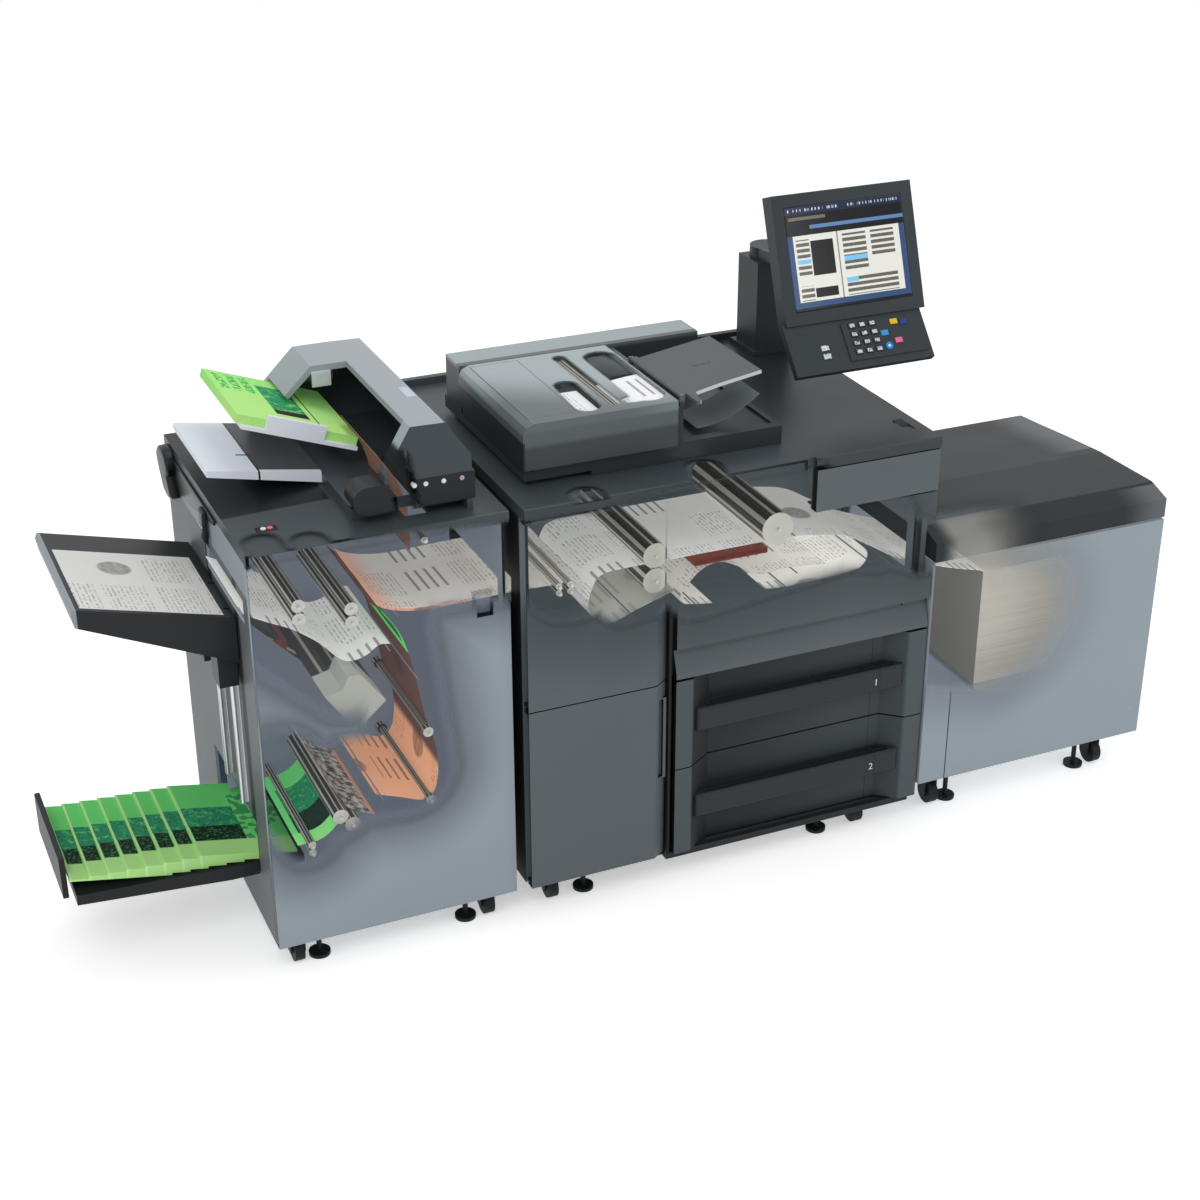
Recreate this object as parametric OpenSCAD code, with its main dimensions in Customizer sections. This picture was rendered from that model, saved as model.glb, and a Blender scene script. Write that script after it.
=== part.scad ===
/* [Main unit] */
// Width of the main printing unit
main_w = 990; // [950:1:1030]
// Depth of the main unit over its covers
main_d = 790; // [760:1:840]
// Height of the main unit's top deck above the floor
main_h = 1006; // [1006:1:1040]
// Height of the panels' lower edge above the floor
base_gap = 84; // [80:1:90]
// Thickness of the side and rear covers
cover_t = 14; // [10:1:18]
// Thickness of the steel frame plates
plate_t = 6; // [4:0.5:8]
// Height of the dark band round the top deck
band_h = 25; // [20:1:30]
// Width of the left door column
left_w = 336; // [320:1:344]
// Depth of the doors at their edge
door_t = 25; // [20:1:28]
// Thickness of a door's skin and flanges
skin_t = 3; // [2:0.5:4]
// Height of the left doors' parting line
left_split_z = 532; // [520:1:540]
// Height of the toner door
toner_h = 98; // [85:1:105]
// Width of the toner door
toner_w = 310; // [290:1:320]

/* [Paper drawers] */
// Height of one paper drawer front
drawer_h = 225; // [220:1:226]
// Depth that a drawer front curves inwards
drawer_dish = 40; // [30:1:46]
// Depth of a drawer box behind its front
drawer_d = 560; // [500:1:600]
// Height of a drawer box
drawer_box_h = 150; // [120:1:170]
// Width of a drawer's pull bar
handle_w = 530; // [480:1:550]
// Height of a drawer's pull bar
handle_h = 58; // [48:1:64]

/* [Finisher] */
// Width of the finisher
fin_w = 547; // [530:1:560]
// Depth of the finisher
fin_d = 700; // [660:1:740]
// Height of the finisher's top above the floor
fin_h = 1001; // [995:1:1001]
// Gap between the finisher and the main unit
fin_gap = 24; // [20:1:30]
// Set-back of the finisher's door from the main unit's front
fin_y0 = 23; // [15:1:25]
// Thickness of the finisher's door
fin_door_t = 22; // [18:1:22]

/* [Output trays] */
// Length of the main output tray
out_len = 318; // [290:1:330]
// Depth of the main output tray from front to back
out_d = 400; // [360:1:410]
// Angle at which the main output tray rises
out_tilt = 14.4; // [12:0.1:16]
// Height of the main output tray at the finisher
out_z = 812; // [800:1:816]
// Length of the booklet tray outside the finisher
booklet_len = 400; // [380:1:410]
// Height of the booklet tray at the finisher
booklet_z = 222; // [215:1:228]
// Number of booklets on the tray
booklet_n = 8; // [4:1:8]

/* [Paper path] */
// Height of the sheet through the main unit
path_z = 790; // [786:1:794]
// Length of a roller's working face
roller_len = 352; // [340:1:352]
// Width of a sheet across the path
sheet_w = 297; // [280:1:300]
// Length of a large sheet
sheet_len = 420; // [400:1:420]
// Thickness drawn for a sheet
sheet_t = 0.8; // [0.6:0.1:1]
// Radius of the large transport roller
feed_r = 38; // [34:0.5:39]
// Radius of the two heat rollers
heat_r = 29; // [26:0.5:29.5]
// Radius of a roller's steel shaft
shaft_r = 4; // [3:0.5:4.5]

/* [Inserter] */
// Depth of the inserter housing from front to back
ins_d = 555; // [540:1:570]
// Height of the inserter's top above the finisher
ins_h = 198; // [190:1:205]
// Depth of the inserter's two trays
ins_tray_d = 320; // [310:1:330]
// Angle of the upper inserter tray
ins_tilt = 20; // [18:0.5:21]
// Thickness of the stack on the upper tray
ins_stack_t = 18; // [10:1:20]

/* [Document feeder] */
// Width of the document feeder's base
adf_w = 604; // [590:1:610]
// Depth of the document feeder's base
adf_d = 480; // [460:1:490]
// Height of the document feeder above the deck
adf_h = 144; // [138:1:150]
// Width of the feed cover
adf_cover_w = 352; // [340:1:356]

/* [Operator panel] */
// Width of the operator panel's screen housing
panel_w = 358; // [340:1:370]
// Height of the screen housing along its face
panel_h = 290; // [280:1:300]
// Lean of the screen housing from upright
panel_tilt = 20; // [15:1:22]
// Lean of the key plate from upright
key_tilt = 41; // [38:1:44]
// Length of the key plate along its face
key_plate_h = 114; // [108:1:120]

/* [Large capacity unit] */
// Width of the large capacity unit
lu_w = 634; // [610:1:650]
// Depth of the large capacity unit
lu_d = 605; // [590:1:640]
// Height of the large capacity unit at the crest of its lid
lu_h = 768; // [760:1:776]
// Height of the paper stack
stack_h = 300; // [200:1:300]

/* [Wheels and feet] */
// Radius of a castor wheel
wheel_r = 30; // [26:1:31]
// Width of a castor wheel
wheel_w = 22; // [18:1:26]
// Radius of a levelling foot's pad
foot_r = 24; // [20:1:28]

/* [Hidden] */
$fn = 48;

// Clearances
seat = 0.3;
slide_fit = 0.05;
door_gap = 3;
over = 1;

// Colours of the finishes
slate = [0.33, 0.36, 0.39];
mist = [0.55, 0.6, 0.64];
soot = [0.1, 0.1, 0.11];
steel = [0.66, 0.67, 0.68];
paper = [0.93, 0.93, 0.9];
leaf = [0.55, 0.85, 0.35];

// Overall frame: the origin is the middle of the footprint on the floor
stop_t = 12;
fin_x1 = -fin_gap;
fin_x0 = fin_x1 - fin_w;
lu_gap = 4;
lu_x0 = main_w + lu_gap;
lu_x1 = lu_x0 + lu_w;
lu_y0 = -5;
lu_y1 = lu_y0 + lu_d;
stop_x0 = fin_x0 - booklet_len - stop_t;
mid_x = (stop_x0 + lu_x1) / 2;
mid_y = (lu_y0 + main_d) / 2;

module at_machine() translate([-mid_x, -mid_y, 0]) children();

// A plain box between two corners
module block(x0, x1, y0, y1, z0, z1)
    translate([x0, y0, z0]) cube([x1 - x0, y1 - y0, z1 - z0]);

// A profile in x and z, run from front to back
module along_y(y0, y1)
    translate([0, y1, 0]) rotate([90, 0, 0]) linear_extrude(y1 - y0) children();

// A profile in y and z, run from left to right
module along_x(x0, x1)
    translate([x0, 0, 0]) rotate([90, 0, 90]) linear_extrude(x1 - x0) children();

module along_z(z0, z1) translate([0, 0, z0]) linear_extrude(z1 - z0) children();

// A round bar from front to back at x, z
module bar_y(x, z, y0, y1, r)
    translate([x, y1, z]) rotate([90, 0, 0]) cylinder(r = r, h = y1 - y0);

// A round bar from left to right at y, z
module bar_x(y, z, x0, x1, r)
    translate([x0, y, z]) rotate([0, 90, 0]) cylinder(r = r, h = x1 - x0);

module post_z(x, y, z0, z1, r) translate([x, y, z0]) cylinder(r = r, h = z1 - z0);

// A rectangle with rounded corners, as a profile
module round_rect(x0, x1, y0, y1, r) {
    square_w = x1 - x0;
    square_h = y1 - y0;
    translate([x0 + r, y0]) square([square_w - 2 * r, square_h]);
    translate([x0, y0 + r]) square([square_w, square_h - 2 * r]);
    for (x = [x0 + r, x1 - r], y = [y0 + r, y1 - r]) translate([x, y]) circle(r = r);
}

// Points of a smooth curve through a list of points
function bend(a, b, c, d, t) =
    0.5 * (2 * b + (c - a) * t + (2 * a - 5 * b + 4 * c - d) * t * t
    + (3 * b - a - 3 * c + d) * t * t * t);
function curve(p, n) = [for (i = [0 : len(p) - 2], k = [0 : n - 1])
    bend(p[max(i - 1, 0)], p[i], p[i + 1], p[min(i + 2, len(p) - 1)], k / n),
    p[len(p) - 1]];
function unit(v) = v / norm(v);
function side_of(p, i) =
    let (d = unit(p[min(i + 1, len(p) - 1)] - p[max(i - 1, 0)])) [-d[1], d[0]];

// A strip of one thickness along a curve, as a profile
module ribbon(p, t)
    polygon(concat([for (i = [0 : len(p) - 1]) p[i] + side_of(p, i) * t / 2],
        [for (i = [len(p) - 1 : -1 : 0]) p[i] - side_of(p, i) * t / 2]));

// Main unit: levels and lines that the pieces share
top_z0 = main_h - band_h;
lid_t = 6;
inner_x0 = cover_t + seat;
inner_x1 = main_w - cover_t - seat;
rear_y = main_d - cover_t - seat;
front_y = 34;
frame_z0 = 68;
frame_top = main_h - lid_t - seat;
drawer_z0 = base_gap + 3 * seat;
drawer_1_z0 = drawer_z0 + drawer_h;
drawers_top = drawer_1_z0 + drawer_h;
deck_gap = 4;
deck_z = drawers_top + deck_gap;
divider_x = left_w + plate_t;
channel_w = 14;
right_x0 = left_w + channel_w;
right_x1 = main_w - door_gap / 2;

// Paper path: plates that carry the rollers, and the rollers' places
path_y0 = 50;
path_t = 4;
path_gap = 4;
roller_y0 = path_y0 + path_t + path_gap;
roller_y1 = roller_y0 + roller_len;
back_plate_y = roller_y1 + path_gap;
shaft_y0 = path_y0 - 2;
shaft_y1 = back_plate_y + path_t + 6;
sheet_y0 = roller_y0 + (roller_len - sheet_w) / 2;
sheet_y1 = sheet_y0 + sheet_w;
nip = sheet_t / 2 + seat;
path_unit = 100;
exit_r = 7;
deliver_r = 14.4;
turn_disc_r = 11.5;
fold_r = 17;
fold_angle = 44;
booklet_r = 8.6;
rod_r = 1.5;

// A place on the path, set out in steps of path_unit from the sheet's line
function spot(s) = [s[0] * path_unit, path_z + s[1] * path_unit];
function trace(shares) = curve([for (s = shares) spot(s)], 6);
feed_shares = [6.19, 0];
heat_shares = [3.23, 0];
exit_shares = [[0.98, -0.07], [1.24, -0.07]];
deliver_shares = [-4.66, 0.53];
receive_shares = [-3.57, 0.25];
insert_shares = [-2.03, 1.64];
turn_shares = [[-2.05, -2.83], [-2.05, -4.52]];
fold_shares = [-3.95, -4.55];
booklet_shares = [-4.74, -5.06];
function above(s, r) = spot(s) + [0, nip + r];
function below(s, r) = spot(s) - [0, nip + r];
fold_step = (fold_r + nip) * [-cos(fold_angle), sin(fold_angle)];

// The centre of every roller, main unit first
feed_at = above(feed_shares, feed_r);
heat_upper_at = above(heat_shares, heat_r);
heat_lower_at = below(heat_shares, heat_r);
exit_upper_at = [for (s = exit_shares) above(s, exit_r)];
exit_lower_at = [for (s = exit_shares) below(s, exit_r)];
insert_at = spot(insert_shares) + [nip + exit_r, 0];
deliver_upper_at = above(deliver_shares, deliver_r);
deliver_lower_at = below(deliver_shares, deliver_r);
receive_upper_at = above(receive_shares, deliver_r);
receive_lower_at = below(receive_shares, deliver_r);
turn_at = [for (s = turn_shares) spot(s)];
fold_left_at = spot(fold_shares) + fold_step;
fold_right_at = spot(fold_shares) - fold_step;
booklet_upper_at = above(booklet_shares, booklet_r);
booklet_lower_at = below(booklet_shares, booklet_r);
main_axles = concat([feed_at, heat_upper_at, heat_lower_at], exit_upper_at, exit_lower_at);
fin_axles = concat([insert_at, deliver_upper_at, deliver_lower_at, receive_upper_at,
    receive_lower_at, fold_left_at, fold_right_at, booklet_upper_at, booklet_lower_at], turn_at);

// The sheets on their way, as curves through hand-set places
stack_sheet = trace([[11.9, -1.86], [10.8, -1.55], [9.5, -1.06], [8.76, -0.63], [8.09, -0.26],
    [7.26, -0.08], [6.6, 0], feed_shares, [5.4, 0], heat_shares, [2.6, 0], [2.15, -0.03],
    [1.92, -0.2], [1.76, -0.71], [1.89, -1.04], [2.16, -1.24], [2.46, -1.22], [2.95, -1.04],
    [3.83, -0.77]]);
lower_sheet = trace([[8.45, -0.52], [8.68, -0.78], [8.58, -1.06], [8.2, -1.18], [6.73, -1.23],
    [6.07, -1.18]]);
middle_sheet = trace([[7.6, -0.85], [6.71, -0.76], [5.85, -0.78], [5.39, -0.49], [4.93, -0.29],
    [4.5, -0.38], [4.1, -0.74], [3.97, -0.99], [4.11, -1.16], [4.76, -1.27]]);
exit_sheet = trace([[1.6, -0.07], exit_shares[1], exit_shares[0], [-0.01, -0.05],
    [-1.48, -0.08], [-2.04, -0.06], [-2.58, 0.05], [-2.9, 0.2], [-2.98, 0.3]]);
output_sheet_path = trace([[-2.71, -0.7], [-2.95, -0.68], [-3.24, -0.86], [-3.57, -0.92],
    [-3.83, -0.79], [-4.23, -0.35], [-4.74, 0.05], [-5.24, 0.32], [-5.74, 0.6]]);
fold_sheet = trace([[-3.11, 0.35], [-2.81, 0], [-2.45, -0.61], [-2.21, -1.5], [-2.06, -2.39],
    [-1.965, -2.83], [-1.88, -3.05], [-1.79, -3.57], [-1.78, -3.96], [-1.82, -4.27],
    [-1.88, -4.45], [-1.955, -4.57], [-2.05, -4.61], [-2.23, -4.62], [-2.69, -4.43],
    [-3.14, -4.26], [-3.5, -4.12], [-3.74, -4.22], [-3.867, -4.464], fold_shares,
    [-4.033, -4.636], [-4.12, -4.78], [-4.3, -4.95], [-4.52, -5.05], booklet_shares,
    [-4.98, -5.08]]);
insert_sheet = trace([[-2.62, 3.3], [-2.25, 2.7], [-2.06, 2.1], insert_shares, [-2.03, 1.1]]);

// A rod across the path that a sheet rests on, at one point of its curve
function rest(p, i, side) = p[i] + side_of(p, i) * side * (sheet_t / 2 + seat + rod_r);
main_rests = [rest(lower_sheet, 9, -1), rest(lower_sheet, 25, -1), rest(middle_sheet, 6, 1),
    rest(middle_sheet, 24, 1), rest(middle_sheet, 50, 1), rest(stack_sheet, 100, 1)];
fin_rests = [rest(output_sheet_path, 3, 1), rest(output_sheet_path, 18, 1),
    rest(output_sheet_path, 36, 1), rest(fold_sheet, 18, -1), rest(fold_sheet, 90, -1),
    rest(exit_sheet, 36, 1)];

module roller(axle, r) {
    bar_y(axle[0], axle[1], roller_y0, roller_y1, r);
    bar_y(axle[0], axle[1], shaft_y0, shaft_y1, min(shaft_r, r - 2 * sheet_t));
}

// A vertical plate across the path with a bearing hole for each shaft
module path_plate(x0, x1, z0, z1, y0, axles)
    difference() {
        block(x0, x1, y0, y0 + path_t, z0, z1);
        for (a = axles) bar_y(a[0], a[1], y0 - over, y0 + path_t + over, shaft_r + slide_fit);
    }

module rods(places)
    for (a = places) bar_y(a[0], a[1], path_y0 + path_t - over, back_plate_y + over, rod_r);

// Doors of the main unit
hinge_dx = 6;
hinge_dy = 8;
pin_r = 2;
lug_r = 4;
lug_h = 6;
pin_len = 14;
door_x0 = door_gap / 2;
left_door_x1 = left_w - door_gap;
bevel_w = 31;
door_z1 = top_z0 - door_gap;
left_hinge_x = door_x0 + hinge_dx;
right_hinge_x = right_x1 - hinge_dx;
toner_x0 = main_w - toner_w;
toner_x1 = right_x1;
toner_z0 = door_z1 - toner_h;
toner_hinge_y = 6;
toner_hinge_dz = 6;
grip_band_h = 74;
grip_undercut = 16;
grip_lip = 14;
groove_w = 20;
groove_d = 12;
groove_h = 54;

// A fixed lug with a bore, reaching forwards from a side plate to a door's pin
module hinge_lug(x, plate_x, z, y = hinge_dy)
    difference() {
        union() {
            post_z(x, y, z, z + lug_h, lug_r);
            block(min(x - lug_r, plate_x), max(x + lug_r, plate_x), y,
                y - hinge_dy + front_y - seat, z, z + lug_h);
            block(plate_x - (x < plate_x ? plate_t : 0), plate_x + (x < plate_x ? 0 : plate_t),
                y, y - hinge_dy + front_y + over, z, z + lug_h);
        }
        post_z(x, y, z - over, z + lug_h + over, pin_r + slide_fit);
    }

// Lugs under the top flange and over the bottom flange of a door
module door_lugs(x, plate_x, z0, z1, y = hinge_dy)
    for (z = [z0 + skin_t + seat, z1 - skin_t - seat - lug_h]) hinge_lug(x, plate_x, z, y);

module door_pins(x, z0, z1, y = hinge_dy) {
    post_z(x, y, z0 + skin_t / 2, z0 + pin_len, pin_r);
    post_z(x, y, z1 - pin_len, z1 - skin_t / 2, pin_r);
}

// A left door: a pressed skin with a bevelled free edge and open hinge side
module left_door(z0, z1) {
    bevel_x = left_door_x1 - bevel_w;
    bevel_y = door_t - skin_t;
    difference() {
        along_z(z0, z1) polygon([[door_x0, 0], [bevel_x, 0], [left_door_x1, bevel_y],
            [left_door_x1, door_t], [door_x0, door_t]]);
        along_z(z0 + skin_t, z1 - skin_t) polygon([[door_x0 - over, skin_t],
            [bevel_x - skin_t / 2, skin_t], [left_door_x1 - skin_t, bevel_y + skin_t / 2],
            [left_door_x1 - skin_t, door_t + over], [door_x0 - over, door_t + over]]);
    }
    door_pins(left_hinge_x, z0, z1);
}

module left_upper_door() at_machine() color(slate)
    left_door(left_split_z + door_gap, door_z1);

left_grip_h = 198;
left_grip_z = 293;
left_grip_w = 14;
module left_lower_door() at_machine() color(slate) {
    z0 = base_gap + door_gap;
    grip_x = left_door_x1 - bevel_w / 2;
    difference() {
        left_door(z0, left_split_z);
        block(grip_x - left_grip_w / 2, grip_x + left_grip_w / 2, 0, door_t - skin_t,
            left_grip_z, left_grip_z + left_grip_h);
    }
    difference() {
        block(grip_x - left_grip_w, left_door_x1 - skin_t / 2, door_t / 2, door_t,
            left_grip_z - skin_t, left_grip_z + left_grip_h + skin_t);
        block(grip_x - left_grip_w / 2, grip_x + left_grip_w / 2, 0, door_t - skin_t,
            left_grip_z, left_grip_z + left_grip_h);
    }
}

// The wide door: flat above, then an undercut grip and a band that slopes out again
grip_z1 = drawers_top + door_gap + grip_band_h;
groove_x0 = toner_x0 - door_gap - groove_w;
module right_face(s, x1, top, bottom, back)
    along_x(right_x0 + s, x1) polygon([[s, top], [s, grip_z1 + s],
        [grip_undercut + s, grip_z1 - grip_lip / 2 + s], [grip_undercut + s, grip_z1 - grip_lip],
        [s, bottom + 2 * lug_h], [s, bottom], [back, bottom], [back, top]]);
module right_door() at_machine() color(slate) {
    z0 = drawers_top + door_gap;
    difference() {
        union() {
            difference() {
                right_face(0, right_x1, door_z1, z0, door_t);
                right_face(skin_t, right_x1 + over, door_z1 - skin_t, z0 + skin_t,
                    door_t + over);
                block(toner_x0 - door_gap, right_x1 + over, -over, door_t + over,
                    toner_z0 - door_gap, door_z1 + over);
            }
            block(groove_x0 - skin_t, toner_x0 - door_gap, skin_t / 2, door_t,
                door_z1 - groove_h - skin_t, door_z1);
            block(toner_x0 - door_gap - skin_t, toner_x0 - door_gap, skin_t / 2, door_t,
                toner_z0 - door_gap - skin_t, door_z1);
            block(toner_x0 - door_gap - skin_t, right_x1 - skin_t, skin_t / 2, door_t,
                toner_z0 - door_gap - skin_t, toner_z0 - door_gap);
        }
        block(groove_x0, groove_x0 + groove_w + over, -over, groove_d, door_z1 - groove_h,
            door_z1 + over);
    }
    door_pins(right_hinge_x, z0, toner_z0 - door_gap);
}

module toner_door() at_machine() color(slate) {
    hz = toner_z0 + toner_hinge_dz;
    difference() {
        block(toner_x0, toner_x1, 0, door_t, toner_z0, door_z1);
        block(toner_x0 + skin_t, toner_x1 - skin_t, skin_t, door_t + over,
            toner_z0 + skin_t, door_z1 - skin_t);
        block(toner_x0 + skin_t, toner_x1 - skin_t, skin_t, door_t + over, toner_z0 - over,
            toner_z0 + skin_t + over);
    }
    bar_x(toner_hinge_y, hz, toner_x0 + skin_t / 2, toner_x0 + pin_len, pin_r);
    bar_x(toner_hinge_y, hz, toner_x1 - 2 * pin_len, toner_x1 - skin_t / 2, pin_r);
}

// Main unit: frame
rail_w = 7;
rail_h = 10;
drawer_box_dz = 14;
rail_dz = drawer_box_dz + drawer_box_h / 2;
drawer_y0 = drawer_dish + cover_t + seat;
sheet_slot_h = 60;
feed_slot_z = 640;
feed_slot_h = 130;
guide_x0_share = 0.42;
guide_x1_share = 0.6;
guide_h = 12;

// A dark chute plate under the upper sheet, between the two path plates
module chute() {
    z1 = path_z - sheet_t / 2 - seat;
    block(main_w * guide_x0_share, main_w * guide_x1_share, path_y0 + path_t - over,
        back_plate_y + over, z1 - guide_h, z1);
}

module toner_lugs() {
    hz = toner_z0 + toner_hinge_dz;
    for (x = [toner_x0 + skin_t + seat, inner_x1 - plate_t - lug_h])
        difference() {
            union() {
                bar_x(toner_hinge_y, hz, x, x + lug_h, pin_r + 3 / 4);
                block(x, x + lug_h, toner_hinge_y, path_y0 + over, hz - pin_r / 2,
                    hz + pin_r + 3 / 4);
            }
            bar_x(toner_hinge_y, hz, x - over, x + lug_h + over, pin_r + slide_fit);
        }
}

module main_frame() at_machine() color(soot) {
    px0 = inner_x0 + plate_t;
    px1 = inner_x1 - plate_t;
    difference() {
        union() {
            block(inner_x0, inner_x1, front_y, rear_y, frame_z0, frame_z0 + plate_t);
            for (x = [inner_x0, inner_x1 - plate_t])
                block(x, x + plate_t, front_y, rear_y, frame_z0, frame_top);
            block(inner_x0, inner_x1, rear_y - plate_t, rear_y, frame_z0, frame_top);
            block(inner_x0, inner_x1, front_y, rear_y, deck_z, deck_z + plate_t);
            block(divider_x - plate_t, divider_x, front_y, rear_y, frame_z0, deck_z + over);
        }
        block(inner_x0 - over, px0 + over, sheet_y0 - over, sheet_y1 + over,
            path_z - sheet_slot_h / 2, path_z + sheet_slot_h / 2);
        block(px1 - over, inner_x1 + over, sheet_y0 - over, sheet_y1 + over,
            feed_slot_z, feed_slot_z + feed_slot_h);
    }
    path_plate(px0 - over, px1 + over, deck_z, frame_top, path_y0, main_axles);
    path_plate(px0 - over, px1 + over, deck_z, frame_top, back_plate_y, main_axles);
    chute();
    rods(main_rests);
    for (z0 = [drawer_z0, drawer_1_z0]) {
        block(divider_x - over, divider_x + rail_w, drawer_y0 + rail_h, rear_y - rail_h,
            z0 + rail_dz - rail_h, z0 + rail_dz);
        block(px1 - rail_w, px1 + over, drawer_y0 + rail_h, rear_y - rail_h,
            z0 + rail_dz - rail_h, z0 + rail_dz);
    }
    door_lugs(left_hinge_x, px0, base_gap + door_gap, left_split_z);
    door_lugs(left_hinge_x, px0, left_split_z + door_gap, door_z1);
    door_lugs(right_hinge_x, px1, drawers_top + door_gap, toner_z0 - door_gap);
    toner_lugs();
}

// Main unit: outer covers, with louvres at the back
louvre_n = 9;
louvre_w = 150;
louvre_h = 5;
louvre_pitch = 14;
louvre_x = [200, 640];
louvre_z = [240, 760];
skirt_t = 14;
skirt_gap = 12;
module main_covers() at_machine() color(slate) {
    difference() {
        union() for (x = [0, main_w - cover_t])
            block(x, x + cover_t, front_y, rear_y, base_gap, top_z0 - seat);
        for (x = [-over, main_w - cover_t - over])
            block(x, x + cover_t + 2 * over, sheet_y0 - over, sheet_y1 + over,
                min(path_z - sheet_slot_h / 2, x > 0 ? feed_slot_z : path_z),
                x > 0 ? feed_slot_z + feed_slot_h : path_z + sheet_slot_h / 2);
    }
    difference() {
        block(0, main_w, main_d - cover_t, main_d, base_gap, top_z0 - seat);
        for (x = louvre_x, z = louvre_z, i = [0 : louvre_n - 1])
            block(x, x + louvre_w, main_d - cover_t - over, main_d + over,
                z + i * louvre_pitch, z + i * louvre_pitch + louvre_h);
    }
    block(left_w, main_w - cover_t, skirt_gap, skirt_gap + skirt_t, frame_z0, base_gap - seat);
    block(left_w, main_w - cover_t, skirt_gap + skirt_t - over, front_y - seat, frame_z0,
        frame_z0 + plate_t);
}

// Main unit: top deck, its raised back rim, the platen opening and the switch recess
rim_h = 16;
rim_d = 22;
platen_x = 96;
platen_y = 200;
platen_w = 430;
platen_d = 310;
platen_t = 4;
platen_lip = 8;
switch_x = 950;
switch_y = 96;
switch_w = 24;
switch_l = 62;
switch_t = 10;
switch_rim = 6;
edge_r = 5;
module main_top_cover() at_machine() color(slate)
    difference() {
        union() {
            along_x(0, main_w) polygon([[0, top_z0], [0, main_h - edge_r],
                [edge_r * 0.3, main_h - edge_r * 0.3], [edge_r, main_h],
                [main_d - rim_d, main_h], [main_d - rim_d * 0.8, main_h + rim_h],
                [main_d, main_h + rim_h], [main_d, top_z0]]);
            for (x = adf_hinge_x) {
                bar_x(adf_hinge_y, adf_hinge_z, x - adf_lug_w, x + adf_lug_w, adf_lug_r);
                block(x - adf_lug_w, x + adf_lug_w, adf_hinge_y - adf_lug_r,
                    adf_hinge_y + adf_lug_r, main_h - over, adf_hinge_z);
            }
        }
        difference() {
            block(lid_t, main_w - lid_t, lid_t, main_d - lid_t, top_z0 - over, main_h - lid_t);
            block(toner_x0 - door_gap - groove_w - skin_t, toner_x0 - door_gap + skin_t, 0,
                groove_d + skin_t, top_z0 - 2 * over, main_h);
        }
        block(platen_x + platen_lip, platen_x + platen_w - platen_lip, platen_y + platen_lip,
            platen_y + platen_d - platen_lip, main_h - lid_t - over, main_h + over);
        block(platen_x - seat, platen_x + platen_w + seat, platen_y - seat,
            platen_y + platen_d + seat, main_h - platen_t - seat, main_h + over);
        block(switch_x - switch_w / 2 - seat, switch_x + switch_w / 2 + seat,
            switch_y - switch_l / 2 - seat, switch_y + switch_l / 2 + seat,
            main_h - lid_t - over, main_h + over);
        bar_x(switch_y, main_h - lid_t / 2, switch_x - switch_w / 2 - skin_t - seat,
            switch_x + switch_w / 2 + skin_t + seat, rod_r + slide_fit);
        block(toner_x0 - door_gap - groove_w, toner_x0 - door_gap, -over, groove_d,
            top_z0 - over, main_h + over);
        for (x = adf_hinge_x) bar_x(adf_hinge_y, adf_hinge_z, x - stop_t, x + stop_t,
            pin_r + slide_fit);
    }

module platen_glass() at_machine() color([0.6, 0.75, 0.75])
    block(platen_x, platen_x + platen_w, platen_y, platen_y + platen_d,
        main_h - platen_t, main_h);

// A rocker that pivots on two short pins in the deck
module power_switch() at_machine() color(soot) {
    h = switch_l / 2 - 5 * seat;
    along_x(switch_x - switch_w / 2, switch_x + switch_w / 2)
        polygon([[switch_y - h, main_h - switch_t / 2], [switch_y - h, main_h - 2 * seat],
            [switch_y, main_h - lid_t / 2], [switch_y + h, main_h + lid_t / 2],
            [switch_y + h, main_h - switch_t / 2], [switch_y, main_h - switch_t]]);
    bar_x(switch_y, main_h - lid_t / 2, switch_x - switch_w / 2 - skin_t,
        switch_x + switch_w / 2 + skin_t, rod_r);
}

// Paper drawers: a dished front, a pull bar hollowed from above and a box on rails
dish_x0_share = 0.06;
dish_x1_share = 0.157;
dish_x2_share = 0.857;
dish_x3_share = 0.93;
box_wall = 3;
lift_t = 5;
handle_y0 = 2;
handle_t = 24;
handle_drop = 26;
module drawer_front(z0) {
    w = right_x1 - right_x0;
    z1 = z0 + drawer_h - door_gap;
    shares = [[0, 0], [dish_x0_share, 0], [dish_x1_share, 1], [dish_x2_share, 1],
        [dish_x3_share, 0], [1, 0]];
    front = [for (s = shares) [right_x0 + s[0] * w, s[1] * drawer_dish]];
    along_z(z0, z1) polygon(concat(front,
        [for (i = [len(front) - 1 : -1 : 0]) front[i] + [0, cover_t]]));
}
module drawer_handle(z0) {
    x0 = (right_x0 + right_x1 - handle_w) / 2;
    x1 = x0 + handle_w;
    h0 = z0 + drawer_h / 2 - handle_drop - door_gap;
    y1 = handle_y0 + handle_t;
    difference() {
        intersection() {
            along_x(x0, x1) round_rect(handle_y0, y1, h0, h0 + handle_h, handle_t / 3);
            along_z(h0, h0 + handle_h) round_rect(x0, x1, handle_y0, y1, handle_t / 3);
        }
        block(x0 + handle_t, x1 - handle_t, handle_y0 + handle_t / 4, y1 - handle_t / 4,
            h0 + handle_h / 3, h0 + handle_h + over);
    }
    for (x = [x0 + handle_t, x1 - 2 * handle_t])
        block(x, x + handle_t, y1 - handle_t / 8, drawer_dish + over, h0 + handle_h / 6,
            h0 + handle_h * 2 / 3);
}
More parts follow.
